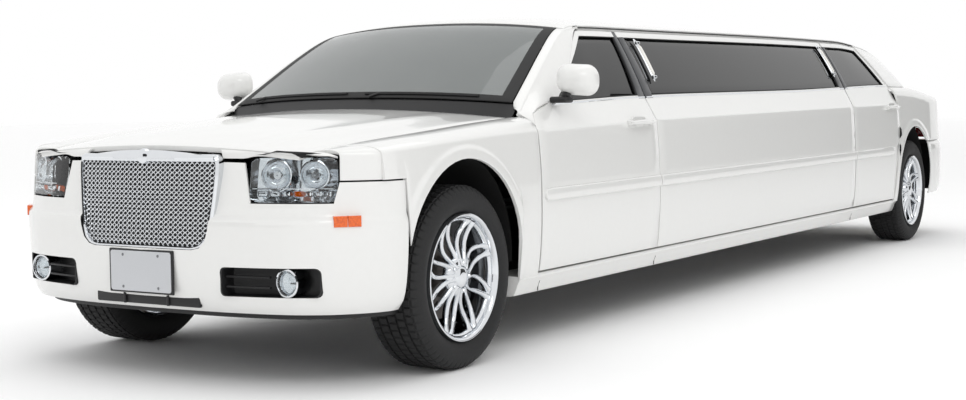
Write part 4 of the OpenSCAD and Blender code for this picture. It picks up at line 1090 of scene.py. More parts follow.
class LIMO_OT_grille(bpy.types.Operator):
    """Builds the woven wire grille in its chrome surround."""
    bl_idname = "limo.grille"
    bl_label = "Wire Grille"

    def execute(self, context):
        sizes = context.scene.limousine_sizes
        pitch, r = sizes.wire_pitch / MM, sizes.wire_radius / MM
        shape = Shape()
        clip = scaled(GRILLE_OUTLINE, 0.955, 0.93)
        for way in (1, -1):
            reach = int(800 / pitch)
            for k in range(-reach, reach + 1):
                runs, line = [], []
                for i, z in enumerate(steps(500, 880, 64)):
                    x = k * pitch + way * (z - 690) * 1.25
                    if inside(x, z, clip):
                        weave = way * 2.0 * math.sin((z - 690) / pitch * 2.5 * math.pi)
                        line.append([x, grille_y(x, z) - 4 + weave, z])
                    elif line:
                        runs.append(line)
                        line = []
                for line in runs + [line]:
                    if len(line) > 2:
                        shape.add(*tube(line, r, 5))
        rims = []
        for sx, sz, out in ((1.0, 1.0, 20), (1.0, 1.0, -6), (0.985, 0.975, -13), (0.965, 0.945, -10),
                            (0.952, 0.925, 2),
                            (0.95, 0.92, 26)):
            rims.append([(x, grille_y(x, z) + out, z) for x, z in scaled(self.dense(), sx, sz)])
        c = len(rims[0])
        points = [p for ring in rims for p in ring]
        faces = [[k * c + i, k * c + (i + 1) % c, (k + 1) % 6 * c + (i + 1) % c, (k + 1) % 6 * c + i]
                 for k in range(6) for i in range(c)]
        shape.add(points, faces)
        bar = [[[x, grille_y(x, z) - 15 + d, z] for z, d in
                ((836 + 4 * (x / 340) ** 2, 8), (842, -2), (856, -6), (870 - 8 * (x / 340) ** 4, -2),
                 (884 - 26 * (x / 340) ** 2, 10))] for x in steps(336, -336, 36)]
        part = sheet(bar, 14, lip=1)
        shape.add(part.points, part.faces)
        shape.add(*lathe([(-14, 0), (-13, 22), (-10, 27), (-2, 30), (8, 30)],
                         (0, grille_y(0, 860) - 8, 860), 36, axis=1))
        back = [(x, grille_y(x, z) + 24, z) for x, z in scaled(self.dense(), 0.97, 0.96)]
        shape.add(*loft([back, [(x, y + 6, z) for x, y, z in back]], mat=1))
        make("wire_grille", shape, [MATS["chrome"], MATS["plastic"]], "body", ["grille"])
        return {"FINISHED"}

    def dense(self):
        """Grille outline with its corners rounded."""
        pts, out = GRILLE_OUTLINE, []
        for i, p in enumerate(pts):
            a, c = pts[i - 1], pts[(i + 1) % len(pts)]
            d0, d1 = math.dist(a, p), math.dist(p, c)
            r = min(14, d0 / 2, d1 / 2)
            s = [mix(p[k], a[k], r / d0) for k in (0, 1)]
            e = [mix(p[k], c[k], r / d1) for k in (0, 1)]
            out += [tuple(bezier(s, p, e, t)) for t in (0, 0.33, 0.67, 1)]
        return out


class LIMO_OT_lamps(bpy.types.Operator):
    """Builds the headlamps, fog lamps, side markers, tail lamps and pillar lamps."""
    bl_idname = "limo.lamps"
    bl_label = "Lamps"

    def execute(self, context):
        self.head()
        self.fog()
        self.markers()
        self.tail()
        self.pillar()
        return {"FINISHED"}

    def face(self, s, z, deep):
        """Point in a headlamp: on the nose's surface, and deep behind it."""
        p = nose_pt(s, z)
        q = nose_pt(s + 0.01, z)
        n = unit(np.array([-(q[1] - p[1]), q[0] - p[0], 0.0]))
        return [p[0] + n[0] * deep, p[1] + 3 + abs(n[1]) * deep, z]

    def disc(self, c, out, t, d, rad, n):
        """Circle of n points round a lamp's axis, d along it from its centre."""
        return [list(np.array(c) + out * d + t * rad * math.cos(a) + np.array([0, 0, 1]) * rad * math.sin(a))
                for a in [2 * math.pi * i / n for i in range(n)]]

    def head(self):
        s0, s1, z0, z1 = 0.291, 0.619, 693, 856
        mid_s, mid_z = (s0 + s1) / 2, (z0 + z1) / 2
        outline = []
        for a, b in rounded(0.5, 0.5, 0.12, 5):
            s = mix(s0, s1, 0.5 + a)
            outline.append((s, mix(z0, z1, 0.5 + b)))
        outline = [(s, z) for s, z in outline]
        housing, lens = Shape(), Shape()
        ring = lambda k, deep, grow=0: [self.face(mix(mid_s, s, k), mix(mid_z, z, k) + grow, deep) for s,
                                        z in outline]
        housing.add(*loft([ring(1.02, 3), ring(1.02, 16), ring(0.985, 16), ring(0.985, 3)], ends=False), )
        housing.paint = [0] * len(housing.faces)
        bowl = [ring(0.985, 4), ring(0.97, 30), ring(0.93, 62), ring(0.5, 74), ring(0.06, 78)]
        points, faces, _ = loft(bowl, ends=False)
        housing.add(points, faces, 1)
        housing.add([self.face(s, z, 79) for s,
                     z in [(mix(mid_s, s, 0.98), mix(mid_z, z, 0.98)) for s, z in outline]],
                    [list(range(len(outline)))], 0)
        for s, z, r in ((0.374, 790, 56), (0.515, 792, 50)):
            c = self.face(s, z, 40)
            q = self.face(s + 0.01, z, 40)
            t = unit(np.array([q[0] - c[0], q[1] - c[1], 0.0]))
            out = np.array([t[1], -t[0], 0.0])
            bowl = ((20, r + 4), (22, r), (14, r * 0.98), (-4, r * 0.86), (-18, r * 0.6), (-24, r * 0.3), (-25, 8))
            points, faces, _ = loft([self.disc(c, out, t, d, rad, 32) for d, rad in bowl], ends=False)
            housing.add(points, faces, 1)
            bulb = [self.disc(c, out, t, d, rad, 16) for d, rad in ((-24, 7), (-6, 8), (2, 7), (6, 3))]
            housing.add(*loft(bulb, mat=2))
            glare = [self.disc(c, out, t, d, rad, 24) for d, rad in ((8, 15), (12, 14), (12, 3), (8, 2))]
            housing.add(*loft(glare, mat=1))
        for k in range(7):
            s = mix(0.31, 0.60, (k + 0.5) / 7)
            a, b = self.face(s - 0.018, 712, 26), self.face(s + 0.018, 732, 30)
            low = [min(a[0], b[0]), min(a[1], b[1]), 714]
            high = [max(a[0], b[0]), max(a[1], b[1]) + 12, 734]
            housing.add(*brick(low, high, 5, mat=1 if k != 3 else 3))
        ledge = [[self.face(s, 741 + v, 16 + 26 * w) for v, w in ((0, 0), (3, 0), (4, 1), (-1, 1))]
                 for s in steps(0.30, 0.61, 16)]
        housing.add(*loft(ledge, mat=1))
        front = [ring(0.985, 5), ring(0.985, 1), ring(0.95, -1), ring(0.6, -2), ring(0.2, -2)]
        points, faces, _ = loft(front, ends=False)
        k = len(outline)
        faces.append([4 * k + i for i in range(k)])
        back = [self.face(mix(mid_s, s, 0.98), mix(mid_z, z, 0.98), 6) for s, z in outline]
        lens.add(points + back, faces + [[5 * k + i for i in range(k)][::-1]]
                 + [[i, (i + 1) % k, 5 * k + (i + 1) % k, 5 * k + i] for i in range(k)])
        make("headlamp_bowls", housing.mirrored(),
             [MATS["seal"], MATS["reflector"], MATS["lens"], MATS["amber"]], "body", crease=50)
        make("headlamp_lenses", lens.mirrored(), [MATS["lens"]], "body", ["headlamps"])

    def fog(self):
        shape, lens = Shape(), Shape()
        outline = [(555 + a, 405 + b) for a, b in rounded(187, 53, 20, 4)]
        line = lambda k, d: [(555 + (x - 555) * k, nose_at(x, 405) + d, 405 + (z - 405) * k) for x,
                             z in outline]
        shape.add(*loft([line(1.0, 2), line(1.0, -2), line(0.965, -3), line(0.955, 6), line(0.93, 60)],
                        ends=False))
        shape.add(line(0.935, 58), [list(range(len(outline)))])
        for z in (386, 424):
            slat = [[x, nose_at(x, 405) + 16, z] for x in steps(385, 560, 8)]
            shape.add(*tube(slat, 9, 8, flat=0.55))
        y = nose_at(628, 405) + 12
        cup = [(60, 50), (6, 53), (-8, 52), (-10, 46), (-4, 43), (20, 36), (34, 18), (38, 0)]
        points, faces, _ = lathe(cup, (628, y, 405), 40, axis=1)
        shape.add(points, faces, 1)
        points, faces, _ = lathe([(-6, 0), (-5, 20), (0, 38), (4, 42), (7, 42), (3, 30), (0, 0)],
                                 (628, y, 405), 40, axis=1)
        lens.add(points, faces)
        make("fog_lamp_housings", shape.mirrored(), [MATS["plastic"], MATS["chrome"]], "body",
             ["fog_lamps"])
        make("fog_lamp_lenses", lens.mirrored(), [MATS["lens"]], "body")
        slot = Shape()
        slot.add(*brick((-262, NOSE + 30, 300), (262, NOSE + 50, 340), 6))
        for x in (-110, 110):
            slot.add(*brick((x - 6, NOSE + 22, 300), (x + 6, NOSE + 50, 340), 3))
        slot.add(*brick((-163, NOSE + 1, 345), (163, NOSE + 8, 511), 5))
        valance = [[[(1 if s >= 0 else -1) * p[0] * 0.96, p[1] + 46, z] for z in (262, 268, 276, 290) for p in
                    [nose_pt(abs(s), 285)]] for s in [k / 20 - 1 for k in range(41)]]
        part = sheet(valance, 6, lip=1)
        slot.add(part.points, part.faces)
        make("lower_grille_and_plate_holder", slot, [MATS["plastic"]], "body")

    def markers(self):
        shape = Shape()
        for part in range(2):
            s0, s1 = ((0.602, 0.655), (0.658, 0.712))[part]
            grid = [[[p[0] + 4, p[1] - 4, z] for z in steps(606, 646, 4) for p in [nose_pt(s, 600)]]
                    for s in steps(s0, s1, 6)]
            slab_part = slab(grid, [[[p[0] - 16, p[1] + 14, p[2]] for p in row] for row in grid], lip=2)
            shape.add(slab_part.points, slab_part.faces)
        make("side_markers", shape.mirrored(), [MATS["amber"]], "body", crease=40)

    def tail(self):
        shape = Shape()
        for z0, z1, mat in ((728, 800, 0), (803, 852, 1), (855, 984, 0)):
            grid = [[[p[0], p[1], z] for z in steps(z0, z1, 6) for p in [tail_pt(s, z)]]
                    for s in steps(0.68, 0.488, 12)]
            part = slab(grid, [[[p[0] - 12, p[1] - 58, p[2]] for p in row] for row in grid], lip=3)
            shape.add(part.points, part.faces, mat)
        make("tail_lamp_units", shape.mirrored(), [MATS["red"], MATS["reflector"]], "body",
             ["tail_lamps"])

    def pillar(self):
        shape = Shape()
        for y0, lean in ((DOOR1 + 196, 26), (REAR0 - 78, 22)):
            zb = belt_z(y0) + 80
            for t0, t1, w, mat in ((0, 1, 15, 0), (0.12, 0.88, 11, 1)):
                rings = []
                for t in steps(t0, t1, 10):
                    z, y = zb + 215 * t, y0 + lean * t
                    edge = min(t - t0, t1 - t) / (t1 - t0)
                    k = math.sqrt(clamp(1 - (1 - clamp(edge * 9, 0.05, 1)) ** 2))
                    x = house_x(y, z) + (0 if mat == 0 else 7)
                    rings.append([(x + 12 * k * max(math.cos(a), -0.3), y + w * k * math.sin(a), z)
                                  for a in [2 * math.pi * i / 14 for i in range(14)]])
                shape.add(*loft(rings, mat))
            for t in (0.1, 0.9):
                z, y = zb + 215 * t, y0 + lean * t
                x = house_x(y, z)
                shape.add(*brick((x, y - 17, z - 9), (x + 17, y + 17, z + 9), 5, mat=0))
        make("pillar_lamps", shape.mirrored(), [MATS["chrome"], MATS["opal"]], "body",
             crease=40)


def nose_at(x, z):
    """Y of the nose's surface at a width."""
    s = 0.0
    for k in range(200):
        if nose_pt(k / 200, z)[0] > x:
            break
        s = k / 200
    return nose_pt(s, z)[1]


class LIMO_OT_plates(bpy.types.Operator):
    """Builds the two blank plates."""
    bl_idname = "limo.plates"
    bl_label = "Blank Plates"

    def execute(self, context):
        for name, hide, body, y, z, way in (
                ("front_blank_plate", "front_plate", "body", middle("front_plate", 1), 428, -1),
                ("rear_blank_plate", "rear_plate", "trunk_lid", middle("rear_plate", 1), 830, 1)):
            shape = Shape()
            shape.add(*loft([[(a, y + d, z + b) for a, b in rounded(w, h, 10, 5)]
                             for d, w, h in ((-2 * way, 152, 76), (1.2 * way, 152.5, 76), (2 * way, 151, 75),
                                             (2 * way, 146, 70), (1.4 * way, 145, 69))]))
            for x in (-89, 89):
                for dz in (-60.5, 60.5):
                    shape.add(*lathe([(-3 * way, 0.1), (-3 * way, 5), (0, 6), (2 * way, 5.5), (3 * way, 4),
                                      (3 * way, 0.1)],
                                     (x, y, z + dz), 14, mat=1, axis=1))
            make(name, shape, [MATS["plate"], MATS["cast"]], body, [hide])
        return {"FINISHED"}


# ---- Wheels -------------------------------------------------------------------------------

class LIMO_OT_wheels(bpy.types.Operator):
    """Builds the tyres with their tread, the chrome rims and the brakes."""
    bl_idname = "limo.wheels"
    bl_label = "Wheels"

    def execute(self, context):
        sizes = context.scene.limousine_sizes
        tyre, rim = self.tyre(sizes.tread_blocks), self.rim(sizes.spoke_pairs)
        for end, y in (("front", FRONT_AXLE), ("rear", REAR_AXLE)):
            for side, label in ((1, "left"), (-1, "right")):
                body, centre = f"{end}_{label}_wheel", (side * WHEEL_X, y, WHEEL_Z)
                make(f"{end}_{label}_treaded_tyre", tyre.moved(centre, side), [MATS["rubber"]], body,
                     [f"{end}_{label}_tyre"], crease=38)
                make(f"{end}_{label}_twin_spoke_rim", rim.moved(centre, side),
                     [MATS["chrome"], MATS["iron"], MATS["plastic"]], body,
                     [f"{end}_{label}_rim"], crease=42)
                caliper = Shape()
                caliper.add(*self.caliper())
                holder = f"{label}_knuckle" if end == "front" else "body"
                make(f"{end}_{label}_brake_caliper", caliper.moved(centre, side), [MATS["cast"]], holder)
        return {"FINISHED"}

    def tyre(self, blocks):
        """Tyre with five block ribs and ribbed shoulders."""
        r1, w = TYRE_R, TYRE_HALF
        ribs = [(-92, -66), (-58, -24), (-17, 17), (24, 58), (66, 92)]
        profile = [(-w + 22, RIM_R + 1, 0), (-w + 9, RIM_R + 13, 0), (-w + 2, RIM_R + 34, 0),
                   (-w, RIM_R + 50, 0),
                   (-w + 1.5, RIM_R + 62, 0), (-w + 2, RIM_R + 66, 0), (-w + 6, r1 - 30, 0),
                   (-w + 13, r1 - 18, 5),
                   (-w + 22, r1 - 9, 5)]
        for k, (a, b) in enumerate(ribs):
            profile += [(a, r1 - 9, 0), (a + 1, r1 - 1 - 1.4 * abs(a) / 92, k + 1),
                        (b - 1, r1 - 1 - 1.4 * abs(b) / 92, k + 1),
                        (b, r1 - 9, 0)]
        profile += [(-x, r, m) for x, r, m in profile[8::-1]]
        per, points = 6, []
        n = blocks * per
        for k in range(n):
            for x, r, mark in profile:
                phase = (k + (0, 0, 2, 4, 1, 3)[mark] + (x > 0) * (mark == 5) * 2) % per
                cut = mark and phase == 0
                a = 2 * math.pi * (k + 0.012 * abs(x) * (1 if mark in (1, 5) else 0.4)) / n
                points.append((x, (r - (6.5 if cut else 0)) * math.cos(a),
                               (r - (6.5 if cut else 0)) * math.sin(a)))
        c = len(profile)
        faces = [[k * c + i, k * c + i + 1, (k + 1) % n * c + i + 1, (k + 1) % n * c + i]
                 for k in range(n) for i in range(c - 1)]
        faces += [[k * c + c - 1, k * c, (k + 1) % n * c, (k + 1) % n * c + c - 1] for k in range(n)]
        shape = Shape()
        shape.add(points, faces)
        return shape

    def rim(self, pairs):
        """Deep polished lip with curved twin spokes, hub and brake disc."""
        shape = Shape()
        shape.add(*lathe([(-108, 238), (-110, 249), (-106, 253), (110, 253), (119, 251), (120.5, 247),
                          (118, 241),
                          (108, 236), (94, 233), (82, 229), (60, 224), (-60, 226), (-96, 232)], n=96))
        shape.add(*lathe([(86, 222), (93, 225), (97, 231), (88, 234), (76, 230), (74, 223)], n=96))
        for k in range(pairs):
            mid = 2 * math.pi * (k + 0.5) / pairs
            for way in (-1, 1):
                rings = []
                for t in steps(0, 1, 14):
                    r = mix(44, 229, t)
                    spread = 7 + 21 * math.sin(math.pi * clamp(t * 1.02)) ** 0.8 * (1 - 0.25 * t) + 9 * t * t
                    a = mid + 0.16 * math.sin(math.pi * t * 0.9) - 0.05
                    x = 92 - 26 * math.sin(math.pi * (t * 0.9 + 0.02)) + 4 * t
                    half = mix(8.5, 10.5, t) + 6 * smooth((t - 0.86) / 0.14) + 5 * smooth((0.12 - t) / 0.12)
                    deep = mix(15, 12, t)
                    c, s = math.cos(a), math.sin(a)
                    cy, cz = r * c - way * spread * s, r * s + way * spread * c
                    section = ((-half, -deep * 0.7), (-half, deep * 0.3), (-half * 0.62, deep * 0.82),
                               (0, deep),
                               (half * 0.62, deep * 0.82), (half, deep * 0.3), (half, -deep * 0.7),
                               (0, -deep))
                    rings.append([(x + d, cy - w * s, cz + w * c) for w, d in section])
                shape.add(*loft(rings))
        shape.add(*lathe([(60, 20), (60, 78), (84, 76), (94, 66), (97, 52), (97, 44), (100, 42), (106, 36),
                          (108, 18),
                          (108.5, 0.6)], n=48))
        for k in range(5):
            a = 2 * math.pi * k / 5
            c = (0, 58 * math.cos(a), 58 * math.sin(a))
            shape.add(*lathe([(80, 0.6), (92, 8.5), (101, 8.5), (103, 6.5), (103, 0.6)][1:], c, 6))
        shape.add(*lathe([(-16, 80), (-16, 168), (6, 168), (6, 80)], n=72, mat=1))
        shape.add(*lathe([(-32, 26), (-32, 84), (20, 84), (60, 60), (60, 26)], n=48, mat=1))
        shape.add(*lathe([(70, 26), (70, 30), (-20, 30), (-20, 26)], n=24, mat=2))
        return shape

    def caliper(self):
        """Sliding caliper over the back of the disc."""
        rings = []
        for t in steps(0, 1, 12):
            a = math.pi * (0.80 + 0.30 * t)
            pull = 5 * (abs(t - 0.5) > 0.45)
            c, s = math.cos(a), math.sin(a)
            rings.append([(x, r * c, r * s) for x, r in
                          ((-46 + pull, 122 + pull), (-46 + pull, 176), (-38, 188 - pull), (26, 188 - pull),
                           (34 - pull, 178), (34 - pull, 122 + pull), (14, 122 + pull), (12, 174), (-22, 174),
                           (-24, 122 + pull))])
        return loft([[(x, -y, z) for x, y, z in ring] for ring in rings])


# ---- Cabin and underbody ------------------------------------------------------------------

def cushion(low, high, channels=0, across=0, crown=14, n=26):
    """Padded block: crowned faces, rounded edges, sewn channels across its upper and front faces."""
    low, high = np.array(low, float), np.array(high, float)
    centre, half = (low + high) / 2, (high - low) / 2
    faces, points = [], []
    for axis in range(3):
        for way in (-1, 1):
            k = len(points)
            for i in range(n + 1):
                for j in range(n + 1):
                    p = np.empty(3)
                    p[axis] = way
                    p[(axis + 1) % 3], p[(axis + 2) % 3] = -1 + 2 * i / n, -1 + 2 * j / n
                    q = p * 1.0 / (np.sum(np.abs(p) ** 9) ** (1 / 9))
                    swell = np.prod([1 - p[a] ** 2 for a in range(3) if a != axis]) ** 0.6
                    pull = half - crown * 0.75
                    at_point = centre + q * pull
                    at_point[axis] += way * crown * swell * 0.72
                    if channels and not (axis == 2 and way < 0):
                        u = (p[across] + 1) / 2 * channels
                        groove = math.exp(-((u - round(u)) * 2 * half[across] / channels / 9) ** 2)
                        if 0 < round(u) < channels:
                            at_point[axis] -= way * 9 * groove * min(1, swell * 6)
                    points.append(list(at_point))
            for i in range(n):
                for j in range(n):
                    a, b = k + i * (n + 1) + j, k + (i + 1) * (n + 1) + j
                    faces.append([a, b, b + 1, a + 1] if way > 0 else [a, a + 1, b + 1, b])
    return points, faces, 0


def piping(low, high):
    """Sewn cord round the top edge of a cushion."""
    (x0, y0, _), (x1, y1, z) = low, high
    path = [((x0 + x1) / 2 + a, (y0 + y1) / 2 + b, z - 15) for a, b in
            rounded((x1 - x0) / 2 - 11, (y1 - y0) / 2 - 11, 34, 6)]
    return tube(path, 4.5, 8, mat=1, closed=True)


class LIMO_OT_cabin(bpy.types.Operator):
    """Builds the seats, benches, dashboard, partition and steering wheel."""
    bl_idname = "limo.cabin"
    bl_label = "Cabin"

    def execute(self, context):
        leather = [MATS["leather"], MATS["seal"], MATS["plastic"]]
        low = node_box("front_seats")[0]
        y0, floor = low[1], low[2]
        for side, label in ((1, "left"), (-1, "right")):
            shape = Shape()
            x0, x1 = sorted((side * 196, side * 676))
            base, top = floor + 110, floor + 290
            shape.add(*cushion((x0, y0, base), (x1, y0 + 490, top), 5, 0))
            shape.add(*piping((x0, y0, base), (x1, y0 + 490, top)))
            shape.add(*cushion((x0, y0 + 492, base + 20), (x1, y0 + 618, base + 560), 5, 0))
            shape.add(*cushion((x0 + 120, y0 + 505, base + 570), (x1 - 120, y0 + 605, base + 680), 0, 0, 18))
            shape.add(*brick((x0 + 40, y0 + 40, floor), (x1 - 40, y0 + 420, floor + 118), 10, mat=2))
            seat = make(f"front_{label}_seat", shape, leather, "body",
                        ["front_seats"] if side > 0 else [])
        low = node_box("cabin_seats")[0]
        rear_y0 = REAR_AXLE - 1020
        shape = Shape()
        bench_x, y0, y1 = low[0], low[1], REAR_AXLE - 1320
        n = 4
        for k in range(n):
            a, b = mix(y0, y1, k / n) + 3, mix(y0, y1, (k + 1) / n) - 3
            shape.add(*cushion((bench_x + 112, a, low[2] + 60), (bench_x + 520, b, low[2] + 290), 5, 1))
            shape.add(*piping((bench_x + 112, a, low[2] + 60), (bench_x + 520, b, low[2] + 290)))
            shape.add(*cushion((bench_x + 4, a, low[2] + 240), (bench_x + 112, b, low[2] + 640), 5, 1))
        shape.add(*brick((bench_x + 40, y0 + 5, low[2]), (bench_x + 490, y1 - 5, low[2] + 70), 8, mat=2))
        bench = make("side_bench", shape, leather, "body", ["cabin_seats"])
        shape = Shape()
        w = HALF_W - 262
        for k in range(3):
            a, b = mix(-w, w, k / 3) + 3, mix(-w, w, (k + 1) / 3) - 3
            shape.add(*cushion((a, rear_y0, low[2] + 60), (b, rear_y0 + 410, low[2] + 290), 4, 0))
            shape.add(*piping((a, rear_y0, low[2] + 60), (b, rear_y0 + 410, low[2] + 290)))
            shape.add(*cushion((a, rear_y0 + 400, low[2] + 240), (b, rear_y0 + 518, low[2] + 690), 4, 0))
        shape.add(*brick((-w + 20, rear_y0 + 30, low[2]), (w - 20, rear_y0 + 500, low[2] + 70), 8, mat=2))
        rear = make("rear_bench_seat", shape, leather, "body")
        (x0, y0, z0), (x1, y1, z1) = node_box("dashboard")
        shape = Shape()
        grid = [[[mix(x0, x1, u), mix(y0, y1, v) + 30 * (2 * u - 1) ** 2 * (1 - v), z1 - 60 + h
                  + 22 * math.exp(-((mix(x0, x1, u) - 436) / 150) ** 2) * s - 20 * (2 * u - 1) ** 2]
                 for v, h, s in ((0.02, 30, 0), (0.2, 44, 0.2), (0.45, 56, 0.8), (0.65, 60, 1),
                                 (0.8, 50, 0.8), (0.92, 20, 0.2),
                                 (0.98, -30, 0), (0.9, -130, 0), (0.8, -180, 0))] for u in steps(0, 1, 48)]
        part = slab(grid, [[[p[0], y0 + 20 + 0.35 * (p[1] - y0), z0 + 10 + 0.3 * (p[2] - z0)] for p in row]
                           for row in grid])
        shape.add(part.points, part.faces)
        for x in (-520, -90, 90, 560):
            shape.add(*brick((x - 55, y1 - 22, z1 - 120), (x + 55, y1 - 4, z1 - 60), 8, mat=1))
            for k in range(4):
                shape.add(*brick((x - 48, y1 - 8, z1 - 112 + 13 * k), (x + 48, y1 - 1, z1 - 106 + 13 * k),
                                 2, mat=0))
        shape.add(*brick((-80, y1 - 16, z0 + 40), (80, y1 - 2, z1 - 135), 8, mat=1))
        make("dashboard_top", shape, [MATS["plastic"], MATS["cast"]], "body", ["dashboard"])
        (x0, y0, z0), (x1, y1, z1) = node_box("partition")
        shape = Shape()
        shape.add(*brick((x0, y0, z0), (x1, y1, z0 + 560), 8))
        shape.add(*brick((x0 + 30, y0 + 14, z0 + 560), (x1 - 30, y1 - 14, z1 - 30), 4, mat=1))
        shape.add(*brick((x0, y0 + 4, z1 - 34), (x1, y1 - 4, z1), 6))
        for x in (x0, x1 - 40):
            shape.add(*brick((x, y0 + 4, z0 + 550), (x + 40, y1 - 4, z1 - 10), 6))
        make("privacy_partition", shape, [MATS["leather"], MATS["tinted"]], "body",
             ["partition"])
        self.steering()
        return {"FINISHED"}

    def steering(self):
        low, high = node_box("steering_wheel")
        cx, cy, cz = [(a + b) / 2 for a, b in zip(low, high)]
        axis = Vector((0, 0.906, 0.423))
        up = Vector((0, -0.423, 0.906))
        place = lambda x, v, d: [cx + x, cy + up.y * v + axis.y * d, cz + up.z * v + axis.z * d]
        shape = Shape()
        ring = [place(177 * math.cos(a), 177 * math.sin(a), -7)
                for a in [2 * math.pi * k / 64 for k in range(64)]]
        shape.add(*tube(ring, 14, 12, closed=True))
        for a in (90 + 120, 90 + 240, 90):
            c, s = math.cos(math.radians(a)), math.sin(math.radians(a))
            way = -1 if a == 90 else 1
            line = [place(r * c, -way * r * s if a != 90 else -r, -4 + 6 * (1 - r / 170))
                    for r in steps(40, 170, 8)]
            shape.add(*tube(line, [22, 20, 17, 15, 14, 13, 13, 14, 16], 10, mat=1, flat=0.35))
        rings = []
        for d, r in ((-16, 30), (-14, 52), (-6, 58), (6, 56), (14, 40), (16, 26)):
            rings.append([place(r * math.cos(a), r * math.sin(a), -d)
                          for a in [2 * math.pi * k / 32 for k in range(32)]])
        shape.add(*loft(rings, mat=0))
        make("steering_wheel_rim", shape, [MATS["leather"], MATS["plastic"]], "steering_wheel",
             ["steering_wheel"])


class LIMO_OT_underbody(bpy.types.Operator):
    """Finishes the frame's own underbody parts with their real coatings, and adds the inner shell."""
    bl_idname = "limo.underbody"
    bl_label = "Underbody And Inner Shell"

    def execute(self, context):
        finishes = {"floor_pan": "under", "subframes": "under", "wheelhouses": "under", "driveline": "cast",
                    "engine": "cast", "exhaust": "steel", "fuel_tank": "plastic", "left_knuckle": "cast",
                    "right_knuckle": "cast"}
        for name, finish in finishes.items():
            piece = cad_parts[name]
            piece.data.materials.clear()
            piece.data.materials.append(MATS[finish])
        shape = Shape()
        shape.add(*brick((-HALF_W + 214, FRONT_AXLE + 1420, 291), (HALF_W - 214, REAR_AXLE - 490, 297), 2))
        make("cabin_carpet", shape, [MATS["carpet"]], "body")
        shape = Shape()
        ys = steps(FRONT_AXLE + 1420, REAR_AXLE - 300, 30)
        grid = [[[u * (rail_x(y) - 30), y, top_pt(u, y)[2] - 34] for u in steps(1, -1, 14)] for y in ys]
        part = sheet(grid, 5, lip=1)
        shape.add(part.points, part.faces)
        make("headlining", shape, [MATS["leather"]], "body")
        return {"FINISHED"}


# ---- Stage --------------------------------------------------------------------------------

# Camera place in metres from the front axle on the ground, and its yaw, downward pitch and roll in degrees
CAMERA_PLACE = (4.122, -5.065, 1.055)
CAMERA_TURN = (31.62, 3.71, -0.69)


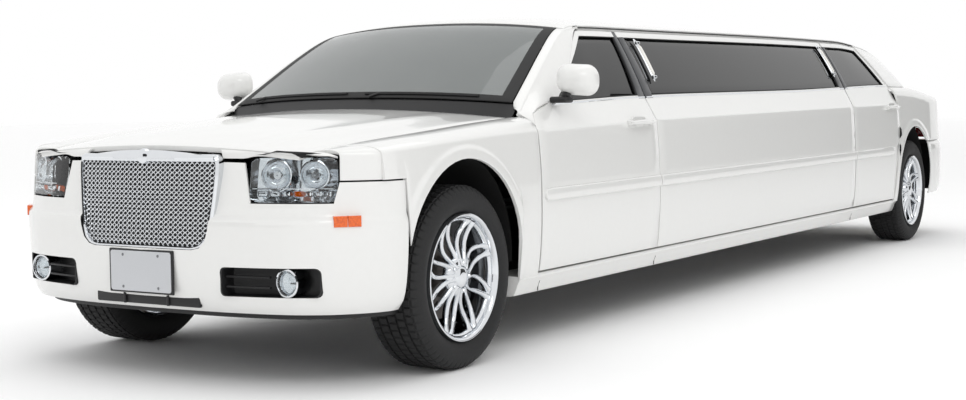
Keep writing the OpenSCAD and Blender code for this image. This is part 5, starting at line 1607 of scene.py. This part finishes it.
class LIMO_OT_stage(bpy.types.Operator):
    """Sets the pale floor, the soft lights and the camera."""
    bl_idname = "limo.stage"
    bl_label = "Studio Stage"

    def execute(self, context):
        scene = context.scene
        scene.view_settings.view_transform = "Standard"
        world = bpy.data.worlds.new("soft_studio")
        world.use_nodes = True
        tree = world.node_tree
        tree.nodes.clear()
        light = node(tree, "ShaderNodeBackground", {"Color": (1, 1, 1, 1), "Strength": 1.0})
        node(tree, "ShaderNodeOutputWorld", None, {"Surface": light.outputs["Background"]})
        scene.world = world
        mesh = bpy.data.meshes.new("studio_floor")
        mesh.from_pydata([(-60, -60, 0), (60, -60, 0), (60, 60, 0), (-60, 60, 0)], [], [[0, 1, 2, 3]])
        mesh.materials.append(MATS["floor"])
        floor = bpy.data.objects.new("studio_floor", mesh)
        scene.collection.objects.link(floor)
        dark = bpy.data.materials.new("black_velvet_card")
        dark.use_nodes = True
        dark.node_tree.nodes["Principled BSDF"].inputs["Base Color"].default_value = linear("#101012")
        for name, corners in (
                ("dark_card_side", [(10, 4, 0.15), (10, 48, 0.15), (10, 48, 7), (10, 4, 7)]),
                ("dark_card_front", [(-9, -17, 0.2), (2, -17, 0.2), (2, -17, 3.6), (-9, -17, 3.6)])):
            mesh = bpy.data.meshes.new(name)
            mesh.from_pydata(corners, [], [[0, 1, 2, 3]])
            mesh.materials.append(dark)
            card = bpy.data.objects.new(name, mesh)
            card.visible_camera = False
            scene.collection.objects.link(card)
        for name, place, aim, size, power in (
                ("key_light", (7, -9, 9), (0, -1.5, 0.6), (6, 4), 190),
                ("top_light", (0, 1, 9), (0, 0.5, 0), (5, 10), 90)):
            lamp = bpy.data.lights.new(name, "AREA")
            lamp.shape, lamp.size, lamp.size_y, lamp.energy = "RECTANGLE", size[0], size[1], power
            shown = bpy.data.objects.new(name, lamp)
            shown.location = place
            shown.rotation_euler = (Vector(aim) - Vector(place)).to_track_quat("-Z", "Y").to_euler()
            scene.collection.objects.link(shown)
        camera = bpy.data.cameras.new("studio_camera")
        camera.lens, camera.sensor_width = scene.limousine_sizes.camera_lens, 36
        camera.clip_end = 300
        eye = bpy.data.objects.new("studio_camera", camera)
        yaw, pitch, roll = (math.radians(a) for a in CAMERA_TURN)
        ahead = Vector((-math.sin(yaw) * math.cos(pitch), math.cos(yaw) * math.cos(pitch), -math.sin(pitch)))
        right = ahead.cross(Vector((0, 0, 1))).normalized()
        up = right.cross(ahead)
        right, up = (right * math.cos(roll) + up * math.sin(roll),
                     up * math.cos(roll) - right * math.sin(roll))
        turn = Matrix((right, up, -ahead)).transposed().to_4x4()
        turn.translation = Vector((CAMERA_PLACE[0], CAMERA_PLACE[1] + FRONT_AXLE * MM, CAMERA_PLACE[2]))
        eye.matrix_world = turn
        scene.collection.objects.link(eye)
        scene.camera = eye
        return {"FINISHED"}


class LIMO_PT_panel(bpy.types.Panel):
    """Lists the limousine's sizes, colours and build steps."""
    bl_idname = "LIMO_PT_panel"
    bl_label = "Stretch Limousine"
    bl_space_type = "VIEW_3D"
    bl_region_type = "UI"
    bl_category = "Limousine"

    def draw(self, context):
        for group in (context.scene.limousine_sizes, context.scene.limousine_colours):
            for key in group.__annotations__:
                self.layout.prop(group, key)
        for step in STEPS:
            self.layout.operator(step.bl_idname)


STEPS = (LIMO_OT_panels, LIMO_OT_roof, LIMO_OT_closures, LIMO_OT_doors, LIMO_OT_mirrors, LIMO_OT_grille,
         LIMO_OT_lamps, LIMO_OT_plates, LIMO_OT_wheels, LIMO_OT_cabin, LIMO_OT_underbody, LIMO_OT_stage)
CLASSES = (LimousineSizes, LimousineColours, *STEPS, LIMO_PT_panel)


def register():
    for cls in CLASSES:
        bpy.utils.register_class(cls)
    bpy.types.Scene.limousine_sizes = PointerProperty(type=LimousineSizes)
    bpy.types.Scene.limousine_colours = PointerProperty(type=LimousineColours)


def unregister():
    del bpy.types.Scene.limousine_colours
    del bpy.types.Scene.limousine_sizes
    for cls in reversed(CLASSES):
        bpy.utils.unregister_class(cls)


def main():
    register()
    build_materials(bpy.context.scene.limousine_colours)
    for step in STEPS:
        group, name = step.bl_idname.split(".")
        getattr(getattr(bpy.ops, group), name)()


if __name__ == "__main__":
    main()
